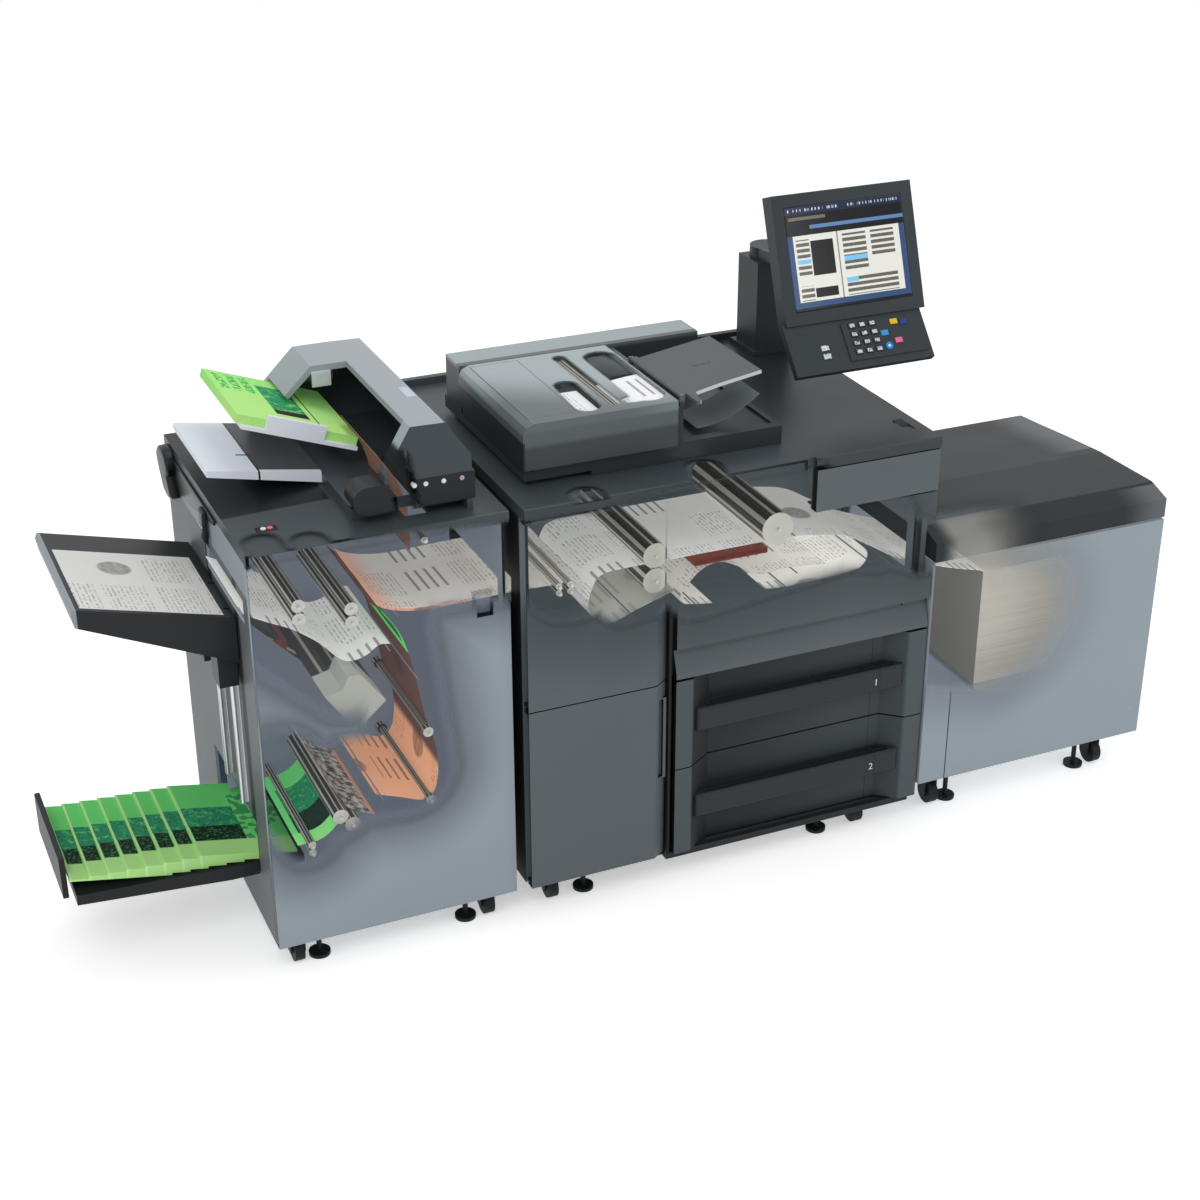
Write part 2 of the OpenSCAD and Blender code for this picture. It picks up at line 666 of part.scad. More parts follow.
module drawer_box(z0) {
    x0 = divider_x + rail_w + slide_fit * 6;
    x1 = inner_x1 - plate_t - rail_w - slide_fit * 6;
    b0 = z0 + drawer_box_dz;
    y0 = drawer_dish + cover_t - over;
    y1 = y0 + drawer_d;
    flange = rail_w - 2 * seat;
    difference() {
        block(x0, x1, y0, y1, b0, b0 + drawer_box_h);
        block(x0 + box_wall, x1 - box_wall, y0 + box_wall + over, y1 - box_wall,
            b0 + box_wall, b0 + drawer_box_h + over);
    }
    for (x = [x0 - flange, x1 - over])
        block(x, x + flange + over, y0 + 2 * rail_h, y1, z0 + rail_dz + seat,
            z0 + rail_dz + seat + box_wall);
    block(x0 + box_wall - over / 2, x1 - box_wall - drawer_dish * 3, y0 + 2 * box_wall,
        y1 - 2 * box_wall, b0 + box_wall - over / 2, b0 + box_wall + lift_t);
    block(x1 - drawer_dish * 3 + box_wall, x1 - drawer_dish * 3 + 2 * box_wall, y0 + 2 * box_wall,
        y1 - 2 * box_wall, b0 + box_wall - over / 2, b0 + drawer_box_h * 3 / 4);
}
module drawer(z0) at_machine() color(slate) {
    drawer_front(z0);
    drawer_handle(z0);
    drawer_box(z0);
}
module paper_drawer_1() drawer(drawer_1_z0);
module paper_drawer_2() drawer(drawer_z0);

// Docking blocks that join each side unit to the main unit
dock_y = 420;
dock_w = 60;
dock_z = [220, 560];

// Finisher: shell, door and top
fin_z0 = 73;
fin_y1 = fin_y0 + fin_d;
fin_wall = 6;
fin_door_z1 = fin_h - band_h - over;
fin_top_z0 = fin_h - band_h;
fin_wall_y0 = fin_y0 + fin_door_t + door_gap;
fin_hinge_y = fin_y0 + hinge_dy;
fin_hinge_x = fin_x0 + hinge_dx;
fin_plate_top = fin_top_z0 - lid_t;
out_slot_z0 = 826;
out_slot_z1 = 880;
receive_slot_z0 = 762;
receive_slot_z1 = 826;
mouth_z0 = 198;
mouth_z1 = 330;
mouth_y0 = 140;
mouth_y1 = 500;
booklet_gap_z = 256;
// The finisher's frame, with the flat sheet that closes it at the back as a piece of its own
module finisher_frame() at_machine() color(mist) {
    block(fin_x0, fin_x1, fin_y1 - fin_wall, fin_y1, fin_z0, fin_top_z0 - seat);
    difference() {
        block(fin_x0, fin_x1, fin_wall_y0, fin_y1 - fin_wall - seat, fin_z0, fin_top_z0 - seat);
        block(fin_x0 + fin_wall, fin_x1 - fin_wall, fin_wall_y0 - over, fin_y1 + over,
            fin_z0 + fin_wall, fin_top_z0 + over);
        block(fin_x0 - over, fin_x0 + fin_wall + over, sheet_y0 - over, sheet_y1 + over,
            out_slot_z0, out_slot_z1);
        block(fin_x0 - over, fin_x0 + fin_wall + over, mouth_y0, mouth_y1, mouth_z0, mouth_z1);
        block(fin_x1 - fin_wall - over, fin_x1 + over, sheet_y0 - over, sheet_y1 + over,
            receive_slot_z0, receive_slot_z1);
    }
    for (y = [path_y0, back_plate_y])
        difference() {
            path_plate(fin_x0 + fin_wall - over, fin_x1 - fin_wall + over, fin_z0 + fin_wall
                - over, fin_plate_top, y, fin_axles);
            block(fin_x0, booklet_x1 + 2 * stop_t, mouth_y0, mouth_y1, mouth_z0, booklet_gap_z);
        }
    rods(fin_rests);
    door_lugs(fin_hinge_x, fin_x0 + fin_wall, fin_z0 + 2, fin_door_z1, fin_hinge_y);
    for (z = dock_z) block(fin_x1 - over, -seat, dock_y, dock_y + dock_w, z, z + dock_w);
}

// The finisher's door: a pressed tray, open on its hinge side, with a grip recess
fin_grip_w = 36;
fin_grip_h = 49;
fin_grip_dx = 76;
fin_grip_z = 773;
module finisher_door() at_machine() color(mist) {
    y1 = fin_y0 + fin_door_t;
    x1 = fin_x1 - 2;
    z0 = fin_z0 + 2;
    gx = fin_x1 - fin_grip_dx;
    difference() {
        block(fin_x0, x1, fin_y0, y1, z0, fin_door_z1);
        block(fin_x0 - over, x1 - skin_t, fin_y0 + skin_t, y1 + over, z0 + skin_t,
            fin_door_z1 - skin_t);
        block(gx, gx + fin_grip_w, fin_y0 - over, y1, fin_grip_z, fin_grip_z + fin_grip_h);
    }
    difference() {
        block(gx - skin_t, gx + fin_grip_w + skin_t, fin_y0 + skin_t / 2, y1,
            fin_grip_z - skin_t, fin_grip_z + fin_grip_h + skin_t);
        block(gx, gx + fin_grip_w, fin_y0 - over, y1 - skin_t, fin_grip_z,
            fin_grip_z + fin_grip_h);
    }
    door_pins(fin_hinge_x, z0, fin_door_z1, fin_hinge_y);
}

insert_slot_x0 = -226;
insert_slot_x1 = -176;
module finisher_top_cover() at_machine() color(slate)
    difference() {
        along_x(fin_x0, fin_x1) polygon([[fin_y0, fin_top_z0], [fin_y0, fin_h - edge_r],
            [fin_y0 + edge_r * 0.3, fin_h - edge_r * 0.3], [fin_y0 + edge_r, fin_h],
            [fin_y1, fin_h], [fin_y1, fin_top_z0]]);
        block(fin_x0 + lid_t + over, fin_x1 - lid_t - over, fin_y0 + lid_t, fin_y1 - lid_t - over,
            fin_top_z0 - over, fin_h - lid_t);
        block(insert_slot_x0, insert_slot_x1, sheet_y0 - over, sheet_y1 + over,
            fin_h - lid_t - over, fin_h + over);
    }

// Output tray on two upright rails along the finisher's left side
rail_y = [195, 325];
rail_dx = 12;
rail_r = 5;
rail_z0 = 350;
rail_z1 = 745;
web_t = 4;
module tray_rails() at_machine() color(steel)
    for (y = rail_y) {
        post_z(fin_x0 - rail_dx, y, rail_z0, rail_z1, rail_r);
        block(fin_x0 - rail_dx, fin_x0 - seat, y - web_t / 2, y + web_t / 2, rail_z0, rail_z1);
        block(fin_x0 - 3 * seat, fin_x0 - seat, y - rail_r, y + rail_r, rail_z0, rail_z1);
    }

tray_y0 = 150;
tray_root_h = 103;
tray_tip_h = 40;
tray_gap = 3;
carriage_z0 = 650;
carriage_h = 92;
carriage_w = 62;
carriage_l = 42;
module output_tray() at_machine() color(mist) {
    x1 = fin_x0 - tray_gap;
    rise = out_len * tan(out_tilt);
    difference() {
        union() {
            along_y(tray_y0, tray_y0 + out_d) polygon([[x1, out_z - tray_root_h], [x1, out_z],
                [x1 - out_len, out_z + rise], [x1 - out_len - lip_r * 0.4, out_z + rise - lip_r],
                [x1 - out_len, out_z + rise - tray_tip_h]]);
            for (y = rail_y) block(x1 - carriage_l, x1 - over, y - carriage_w / 2,
                y + carriage_w / 2, carriage_z0, carriage_z0 + carriage_h);
        }
        for (y = rail_y) {
            post_z(fin_x0 - rail_dx, y, carriage_z0 - over, out_z + rise, rail_r + slide_fit);
            block(fin_x0 - rail_dx, x1 + over, y - web_t, y + web_t, carriage_z0 - over,
                out_z + rise);
        }
        translate([0, 0, -3 * lid_t]) along_y(tray_y0 + lid_t, tray_y0 + out_d - lid_t)
            polygon([[x1 - carriage_l - lid_t, out_z - tray_root_h], [x1 - carriage_l - lid_t,
            out_z], [x1 - out_len + lid_t, out_z + rise - lid_t],
            [x1 - out_len + lid_t, out_z + rise - tray_tip_h]]);
    }
}
lip_r = 12;

module output_sheet() at_machine() color(paper) {
    x1 = fin_x0 - rail_dx - lip_r;
    l = out_len - 2 * lip_r - rail_dx;
    z1 = out_z + (rail_dx + lip_r - tray_gap) * tan(out_tilt) + seat;
    along_y(sheet_y0 + tray_y0 / 2, sheet_y1 + tray_y0 / 2) polygon([[x1, z1], [x1, z1 + sheet_t],
        [x1 - l, z1 + sheet_t + l * tan(out_tilt)], [x1 - l, z1 + l * tan(out_tilt)]]);
}

// Booklet tray, the booklets leaning on one another and the end stop
booklet_y0 = 160;
booklet_d = 310;
booklet_l = 215;
booklet_t = 5;
booklet_rise = 3;
booklet_in = 88;
booklet_x1 = fin_x0 + booklet_in;
booklet_pitch = (booklet_x1 - fin_x0 + booklet_len - booklet_l) / (booklet_n - 1);
booklet_tray_t = 12;
stop_h = 80;
stop_w = 150;
tongue_w = 60;
tongue_t = 4;
tongue_l = 110;
ledge_z = booklet_z - booklet_rise;
module booklet_tray() at_machine() color(soot) {
    x0 = fin_x0 - booklet_len + stop_t;
    x1 = booklet_x1 + stop_t;
    rise = (x1 - x0) * tan(booklet_rise);
    z1 = booklet_z - (x1 - fin_x0) * tan(booklet_rise);
    difference() {
        along_y(booklet_y0 - stop_t, booklet_y0 + booklet_d + stop_t) polygon([[x1,
            mouth_z0 + seat], [x1, z1], [x0, z1 + rise], [x0, z1 + rise - 2 * booklet_tray_t],
            [x1 - booklet_len * 0.4, z1 - 2 * booklet_tray_t], [fin_x0 - seat, z1 - 2
            * booklet_tray_t], [fin_x0 - seat, mouth_z0 + seat]]);
        block(x0 - over, x0 + tongue_l + stop_t, mid_tongue - tongue_w / 2 - seat,
            mid_tongue + tongue_w / 2 + seat, z1 + rise - booklet_tray_t - tongue_t,
            z1 + rise - booklet_tray_t + seat);
    }
}
mid_tongue = booklet_y0 + booklet_d / 2;
module booklets() at_machine() color(leaf) {
    a = asin((booklet_t + seat) / booklet_pitch);
    for (i = [0 : booklet_n - 1]) {
        x = booklet_x1 - i * booklet_pitch;
        z = booklet_z - (x - fin_x0) * tan(booklet_rise) + seat;
        translate([x, 0, z]) rotate([0, a + booklet_rise, 0])
            block(-booklet_l, 0, booklet_y0, booklet_y0 + booklet_d, 0, booklet_t);
    }
}
module booklet_stop() at_machine() color(soot) {
    x0 = fin_x0 - booklet_len + stop_t;
    rise = (booklet_x1 + stop_t - x0) * tan(booklet_rise);
    z1 = booklet_z - (booklet_x1 + stop_t - fin_x0) * tan(booklet_rise) + rise;
    block(stop_x0, stop_x0 + stop_t, booklet_y0 + stop_t, booklet_y0 + booklet_d - stop_t,
        z1 - booklet_tray_t - tongue_t + seat, z1 + stop_h);
    block(stop_x0 + stop_t - over, x0 + tongue_l, mid_tongue - tongue_w / 2,
        mid_tongue + tongue_w / 2, z1 - booklet_tray_t - tongue_t + seat, z1 - booklet_tray_t);
}

staple_shares = [[-4.25, -1.48], [-3.87, -1.39], [-3.74, -1.11], [-3.47, -1.11],
    [-2.95, -1.83], [-3.62, -2.41]];
bar_shares = [[-5.04, -0.9], [-4.57, -1.43], [-4.5, -1.36], [-4.97, -0.83]];
module staple_unit() at_machine() color(soot) {
    along_y(path_y0 + path_t + seat, back_plate_y - seat)
        polygon([for (s = staple_shares) spot(s)]);
    along_y(back_plate_y * 0.8, back_plate_y - seat) polygon([for (s = bar_shares) spot(s)]);
    along_y(back_plate_y * 0.8, back_plate_y - seat) polygon([spot(bar_shares[1]),
        spot(staple_shares[5]), spot(staple_shares[0]), spot(bar_shares[2])]);
}

module sheet(p, y0 = sheet_y0, y1 = sheet_y1) along_y(y0, y1) ribbon(p, sheet_t);
module path_sheets() at_machine() color(paper) {
    for (p = [stack_sheet, lower_sheet, middle_sheet, exit_sheet, output_sheet_path,
        fold_sheet]) sheet(p);
    sheet(insert_sheet, insert_y0);
    lifted = [for (i = [18 : len(exit_sheet) - 4]) exit_sheet[i] + [0, sheet_t + seat]];
    sheet(lifted, sheet_y0 + stop_t);
}

// Rollers
module turn_roller(axle) {
    roller(axle, exit_r);
    bar_y(axle[0], axle[1], roller_y0, sheet_y0 - stop_t, turn_disc_r);
    bar_y(axle[0], axle[1], sheet_y1 + stop_t, roller_y1, turn_disc_r);
}
module feed_roller() at_machine() color(mist) roller(feed_at, feed_r);
module upper_heat_roller() at_machine() color(soot) roller(heat_upper_at, heat_r);
module lower_heat_roller() at_machine() color(soot) roller(heat_lower_at, heat_r);
module exit_roller_upper_a() at_machine() color(mist) roller(exit_upper_at[0], exit_r);
module exit_roller_lower_a() at_machine() color(mist) roller(exit_lower_at[0], exit_r);
module exit_roller_upper_b() at_machine() color(mist) roller(exit_upper_at[1], exit_r);
module exit_roller_lower_b() at_machine() color(mist) roller(exit_lower_at[1], exit_r);
module insert_roller() at_machine() color(mist) roller(insert_at, exit_r);
module deliver_roller_upper() at_machine() color(soot) roller(deliver_upper_at, deliver_r);
module deliver_roller_lower() at_machine() color(soot) roller(deliver_lower_at, deliver_r);
module receive_roller_upper() at_machine() color(soot) roller(receive_upper_at, deliver_r);
module receive_roller_lower() at_machine() color(soot) roller(receive_lower_at, deliver_r);
module turn_roller_upper() at_machine() color(mist) turn_roller(turn_at[0]);
module turn_roller_lower() at_machine() color(mist) turn_roller(turn_at[1]);
module fold_roller_left() at_machine() color(soot) roller(fold_left_at, fold_r);
module fold_roller_right() at_machine() color(soot) roller(fold_right_at, fold_r);
module booklet_roller_upper() at_machine() color(soot) roller(booklet_upper_at, booklet_r);
module booklet_roller_lower() at_machine() color(soot) roller(booklet_lower_at, booklet_r);

// Large capacity unit: a cabinet with guide rods, a lift plate and a crowned lid
lu_z0 = 115;
lu_wall = 6;
lu_lid_h = 68;
lu_rim_z = lu_h - lu_lid_h - lu_wall;
lu_back_y = 450;
lu_rod_y = 436;
lu_rod_x = [1250, 1550];
lu_rod_r = 5;
lu_bush_r = 11;
stack_x0 = 1190;
stack_z0 = 300;
lift_plate_t = 6;
lift_gap = 8;
module lu_cabinet() at_machine() color(mist) {
    difference() {
        block(lu_x0, lu_x1, lu_y0, lu_y1, lu_z0, lu_rim_z);
        block(lu_x0 + lu_wall, lu_x1 - lu_wall, lu_y0 + lu_wall, lu_y1 - lu_wall,
            lu_z0 + lu_wall, lu_rim_z + over);
        block(lu_x0 - over, lu_x0 + lu_wall + over, sheet_y0 - over, sheet_y1 + over,
            feed_slot_z - 2 * stop_t, lu_rim_z + over);
    }
    block(lu_x0 + lu_wall - over, lu_x1 - lu_wall + over, lu_back_y, lu_back_y + lu_wall,
        lu_z0 + lu_wall - over, lu_rim_z - stop_t);
    for (x = lu_rod_x) {
        post_z(x, lu_rod_y, lu_z0 + lu_wall - over, lu_rim_z - 2 * stop_t, lu_rod_r);
        block(x - lu_rod_r, x + lu_rod_r, lu_rod_y - lu_rod_r, lu_back_y + over,
            lu_rim_z - 3 * stop_t, lu_rim_z - 2 * stop_t);
    }
    for (x = [lu_x0 + 2 * stop_t, lu_x1 - 2 * stop_t - lug_h]) lid_lug(x);
    for (z = dock_z) block(main_w + seat, lu_x0 + over, dock_y, dock_y + dock_w, z, z + dock_w);
}
lu_hinge_y = lu_y1 + 7.5;
lu_hinge_z = lu_rim_z + door_gap;
lu_lug_r = 5;
module lid_lug(x)
    difference() {
        union() {
            bar_x(lu_hinge_y, lu_hinge_z, x, x + lug_h, lu_lug_r);
            block(x, x + lug_h, lu_y1 - over, lu_hinge_y + lu_lug_r, lu_rim_z - 2 * stop_t,
                lu_rim_z);
            block(x, x + lug_h, lu_hinge_y - lu_lug_r, lu_hinge_y + lu_lug_r, lu_rim_z - over,
                lu_hinge_z);
        }
        bar_x(lu_hinge_y, lu_hinge_z, x - over, x + lug_h + over, pin_r + slide_fit);
    }
lid_shares = [[0, -1], [0, -0.305], [0.1, 0], [0.44, -0.011], [0.68, -0.159],
    [0.858, -0.295], [1, -0.386], [1, -1]];
lid_tab_z0 = lu_rim_z + lu_rod_r + door_gap;
module lu_lid() at_machine() color(mist) {
    top = [for (s = lid_shares) [lu_y0 + s[0] * lu_d, lu_h + s[1] * lu_lid_h]];
    difference() {
        along_x(lu_x0, lu_x1) polygon(top);
        translate([0, 0, -lu_wall]) along_x(lu_x0 + lu_wall, lu_x1 - lu_wall)
            intersection() {
                polygon(top);
                translate([lu_y0 + lu_wall, lu_z0]) square([lu_d - 2 * lu_wall, lu_h]);
            }
    }
    for (x = [lu_x0 + 2 * stop_t + lug_h + seat, lu_x1 - 3 * stop_t - lug_h - seat]) {
        bar_x(lu_hinge_y, lu_hinge_z, x, x + stop_t, lu_lug_r);
        block(x, x + stop_t, lu_y1 - over, lu_hinge_y + lu_lug_r, lid_tab_z0,
            lid_tab_z0 + lug_h);
        block(x, x + stop_t, lu_hinge_y - lu_lug_r, lu_hinge_y + lu_lug_r, lu_hinge_z,
            lid_tab_z0 + over);
    }
    bar_x(lu_hinge_y, lu_hinge_z, lu_x0 + 2 * stop_t - over, lu_x0 + 3 * stop_t + lug_h, pin_r);
    bar_x(lu_hinge_y, lu_hinge_z, lu_x1 - 3 * stop_t - lug_h, lu_x1 - 2 * stop_t + over, pin_r);
}
module lu_lift_plate() at_machine() color(steel)
    difference() {
        union() {
            block(stack_x0 - stop_t, lu_x1 - lu_wall - lift_gap, lu_y0 + lu_wall + lift_gap,
                lu_rod_y, stack_z0 - lift_plate_t, stack_z0);
            for (x = lu_rod_x) post_z(x, lu_rod_y, stack_z0 - lu_bush_r, stack_z0 + lu_bush_r,
                lu_bush_r);
        }
        for (x = lu_rod_x) post_z(x, lu_rod_y, stack_z0 - 2 * lu_bush_r,
            stack_z0 + 2 * lu_bush_r, lu_rod_r + slide_fit);
    }
module lu_stack() at_machine() color(paper)
    block(stack_x0, stack_x0 + sheet_len, sheet_y0, sheet_y1, stack_z0 + seat,
        stack_z0 + stack_h);

// Inserter on the finisher's top, set out in steps of path_unit from that top
ins_y0 = 65;
ins_y1 = ins_y0 + ins_d;
cheek_t = 40;
rear_cheek_t = 12;
console_h = 60;
console_dz = 24;
console_d = 63;
console_x0 = -337;
console_x1 = -80;
ins_base_x0 = -330;
ins_base_y0 = 110;
hood_d = 137;
insert_y0 = 131;
ins_deck_z = fin_h + seat;
function at_top(s) = [s[0] * path_unit, fin_h + s[1] * ins_h];
cheek_shares = [[-2.13, 1], [-1.4, 0.99], [-0.86, 0.606], [-0.86, 0.4], [-2.7, 0.4],
    [-2.7, 0.52]];
ridge_shares = [[-2.13, 1], [-1.4, 0.99], [-0.86, 0.606], [-0.86, 0.0016], [-0.98, 0.0016],
    [-0.98, 0.58], [-1.46, 0.92], [-2.13, 0.93]];
rear_shares = [[-2.13, 1], [-2.93, 1], [-3.53, 0.702], [-4, 0.465], [-4, 0.0016],
    [-0.86, 0.0016], [-0.86, 0.606], [-1.4, 0.99]];
hood_shares = [[-2.1, 0.93], [-2.1, 1], [-2.93, 1], [-3.53, 0.702], [-3.46, 0.66],
    [-2.88, 0.93]];
slope_top = at_top(cheek_shares[1]);
slope_end = at_top(cheek_shares[2]);
slope_dir = unit(slope_end - slope_top);
slope_in = [slope_dir[1], -slope_dir[0]];
cover_axis_in = 3;
cover_thick = 5;
cover_start = 8;
cover_axis = slope_top + slope_dir * cover_start + slope_in * cover_axis_in;
cover_y0 = 118;
cover_y1 = 562;
button_shares = [-2.09, -1.85, -1.47, -1.08];
button_r = 5;
button_dz = 72;
button_l = 12;
button_out = 1.5;

module outline(shares) polygon([for (s = shares) at_top(s)]);

module inserter_housing() at_machine() color(slate)
    difference() {
        union() {
            along_y(ins_y0, ins_y0 + cheek_t) outline(cheek_shares);
            along_y(ins_y0, ins_y1) outline(ridge_shares);
            along_y(ins_y1 - rear_cheek_t, ins_y1) outline(rear_shares);
            along_y(ins_y1 - hood_d, ins_y1) outline(hood_shares);
            along_y(ins_y0, ins_y0 + console_d) {
                translate([console_x0 + console_h / 2, fin_h + console_dz + console_h / 2])
                    circle(r = console_h / 2);
                translate([console_x0 + console_h / 2, fin_h + console_dz])
                    square([console_x1 - console_x0 - console_h / 2, console_h]);
            }
            block(ins_base_x0, slope_end[0] - over, ins_base_y0, ins_y1, ins_deck_z,
                fin_h + console_dz + over);
        }
        block(insert_slot_x0, insert_slot_x1, insert_y0 - over, sheet_y1 + over, fin_h - over,
            fin_h + console_h);
        along_y(cover_y0, cover_y1) polygon([slope_top + slope_dir * cover_start / 2 - slope_in,
            slope_end - slope_in, slope_end + slope_in * (cover_thick + over),
            slope_top + slope_dir * cover_start / 2 + slope_in * (cover_thick + over)]);
        bar_y(cover_axis[0], cover_axis[1], cover_y0 - cover_start, cover_y1 + cover_start,
            pin_r + slide_fit);
        for (x = button_shares * path_unit) {
            bar_y(x, fin_h + button_dz, ins_y0 - over, ins_y0 + button_l + over,
                button_r + slide_fit);
        }
    }

module inserter_cover() at_machine() color(slate) {
    end = slope_end - slope_dir * over;
    along_y(cover_y0 + seat, cover_y1 - seat) polygon([slope_top + slope_dir * cover_start, end,
        end + slope_in * cover_thick, slope_top + slope_dir * cover_start
        + slope_in * cover_thick]);
    bar_y(cover_axis[0], cover_axis[1], cover_y0 - cover_start + seat,
        cover_y1 + cover_start - seat, pin_r);
    bar_y(cover_axis[0], cover_axis[1], cover_y0 + seat, cover_y1 - seat, pin_r + seat);
}

module inserter_buttons() at_machine() color(mist)
    for (x = button_shares * path_unit)
        bar_y(x, fin_h + button_dz, ins_y0 - button_out, ins_y0 + button_l - 2 * button_out,
            button_r);

lower_tray_shares = [[-3.303, 0.02], [-3.303, 0.146], [-5.71, 0.35], [-5.71, 0.28]];
ins_tray_y0 = ins_y1 - rear_cheek_t - seat - ins_tray_d + 2 * stop_t;
upper_x1 = -252;
upper_z1 = 74;
upper_len = 256;
upper_t = 8;
upper_lip = 12;
module inserter_trays() at_machine() color(mist) {
    along_y(ins_tray_y0, ins_y1 - rear_cheek_t - seat) outline(lower_tray_shares);
    translate([upper_x1, 0, fin_h + upper_z1]) rotate([0, ins_tilt, 0]) {
        block(-upper_len, 0, ins_tray_y0 - stop_t, ins_y1 - rear_cheek_t - seat, -upper_t, 0);
        block(-upper_len * 0.8, -upper_len * 0.3, ins_tray_y0 - stop_t, ins_tray_y0 - seat,
            -over, ins_stack_t + upper_lip);
    }
}
module insert_stack() at_machine() color(leaf)
    translate([upper_x1, 0, fin_h + upper_z1]) rotate([0, ins_tilt, 0])
        block(-upper_len - stop_t, -seat, ins_tray_y0, ins_y1 - rear_cheek_t - 2 * seat, seat,
            seat + ins_stack_t);

// Document feeder over the platen glass
adf_x0 = 44;
adf_y0 = 110;
adf_y1 = adf_y0 + adf_d;
adf_base_h = 42;
adf_z0 = main_h + seat;
adf_deck = main_h + adf_base_h;
adf_top = main_h + adf_h;
adf_step_x = 198;
adf_step_h = 13;
adf_hinge_y = adf_y1 + 10;
adf_hinge_z = main_h + 24;
adf_hinge_x = [110, 560];
adf_lug_w = 10;
adf_lug_r = 7;
cover_x0 = 38;
cover_x1 = cover_x0 + adf_cover_w;
adf_front_y = 95;
ridge_y0 = 482;
ridge_y1 = 570;
cover_hinge_dx = 12;
cover_hinge_dz = 10;
cover_relief = 18;
relief_h = 8;
wall_x0 = cover_x1 + 8;
wall_t = 12;
wall_y0 = 106;
wall_y1 = 364;
doc_rise = 2;
doc_z = adf_top + doc_rise;
doc_tilt = 7;
doc_t = 8;
doc_barrel_r = 5;
module adf_base() at_machine() color(slate) {
    hx = cover_x0 + cover_hinge_dx;
    hz = adf_deck + cover_hinge_dz;
    difference() {
        union() {
            block(adf_x0, adf_step_x, adf_y0, adf_y1, main_h + adf_step_h, adf_deck);
            block(adf_step_x - over, adf_x0 + adf_w, adf_y0 + over, adf_y1, adf_z0, adf_deck);
            block(adf_x0 + 2 * stop_t, adf_step_x, adf_y0 + 2 * stop_t, adf_y1, adf_z0,
                adf_deck - over);
            block(cover_x0 + 4, adf_x0 + adf_w - 2 * stop_t, ridge_y0, ridge_y1,
                adf_deck - over, adf_top);
            block(wall_x0, wall_x0 + wall_t, adf_y0 + over, ridge_y0 + over, adf_deck - over,
                doc_z - 2 * doc_barrel_r);
            for (y = [wall_y0, wall_y1])
                block(wall_x0, wall_x0 + wall_t, y, y + lug_h, doc_z - 4 * doc_barrel_r,
                    doc_z + doc_barrel_r);
            for (x = adf_hinge_x) {
                bar_x(adf_hinge_y, adf_hinge_z, x - stop_t, x + 2 * stop_t, pin_r);
                block(x + stop_t, x + 2 * stop_t, adf_y1 - over, adf_hinge_y + pin_r,
                    adf_hinge_z - lug_r, adf_hinge_z + lug_r);
            }
        }
        block(wall_x0 + wall_t + stop_t, adf_x0 + adf_w - stop_t, adf_y0 + 2 * stop_t,
            ridge_y0 - stop_t, adf_deck - lid_t, adf_deck + over);
        block(adf_x0 + 4 * stop_t, cover_x1 - 4 * stop_t, adf_y0 + 3 * stop_t,
            ridge_y0 - 3 * stop_t, adf_deck - lid_t, adf_deck + over);
        block(adf_x0 - over, hx + cover_relief, adf_y0 - over, ridge_y0, adf_deck - relief_h,
            adf_deck + over);
        for (y = [wall_y0 - over, wall_y1 - over])
            bar_y(wall_x0 + wall_t / 2, doc_z, y, y + lug_h + 2 * over, pin_r + slide_fit);
    }
    for (y = [adf_y0 + over, ridge_y0 - 2 * stop_t]) difference() {
        block(hx - lug_r, hx + lug_r, y, y + lug_h, adf_deck - relief_h - over, hz + lug_r);
        bar_y(hx, hz, y - over, y + lug_h + over, pin_r + slide_fit);
    }
}
cover_edge = 24;
module feed_section(s, z0)
    polygon([[cover_x0 + s, z0], [cover_x0 + s, adf_top - cover_edge],
        [cover_x0 + cover_edge * 0.3 + s * 0.7, adf_top - cover_edge * 0.3 - s * 0.7],
        [cover_x0 + cover_edge, adf_top - s], [cover_x1 - s, adf_top - s], [cover_x1 - s, z0]]);
module adf_feed_cover() at_machine() color(slate) {
    hx = cover_x0 + cover_hinge_dx;
    hz = adf_deck + cover_hinge_dz;
    difference() {
        along_y(adf_front_y, ridge_y0 - door_gap) feed_section(0, adf_deck + seat);
        along_y(adf_front_y + skin_t, ridge_y0 - door_gap - skin_t)
            feed_section(skin_t, adf_deck - over);
        for (y = [adf_y0 + over, ridge_y0 - 2 * stop_t])
            block(cover_x0 - over, cover_x0 + skin_t + over, y - seat, y + lug_h + seat,
                adf_deck, hz + lug_r);
    }
    bar_y(hx, hz, adf_front_y + skin_t / 2, adf_y0 + lug_h + 2 * over, pin_r);
    bar_y(hx, hz, ridge_y0 - 2 * stop_t - over, ridge_y0 - door_gap - skin_t / 2, pin_r);
}
doc_shares = [[0, 0.96], [0.92, 1], [0.94, 0.2], [0.42, 0.18], [0.1, 0.15], [0.05, 0], [0, 0]];
doc_w = 196;
doc_d = 305;
doc_y0 = 60;
module adf_document_tray() at_machine() color(slate) {
    x = wall_x0 + wall_t / 2;
    translate([x, 0, doc_z]) rotate([0, -doc_tilt, 0]) {
        translate([stop_t, 0, 0]) along_z(-doc_t / 2, doc_t / 2) polygon([for (s = doc_shares)
            [s[0] * doc_w, doc_y0 + s[1] * doc_d]]);
        block(0, stop_t + over, wall_y0 + lug_h + seat, wall_y1 - seat, -doc_t / 2, doc_t / 2);
        bar_y(0, 0, wall_y0 + lug_h + seat, wall_y1 - seat, doc_barrel_r);
        bar_y(0, 0, wall_y0, wall_y1 + lug_h, pin_r);
    }
}

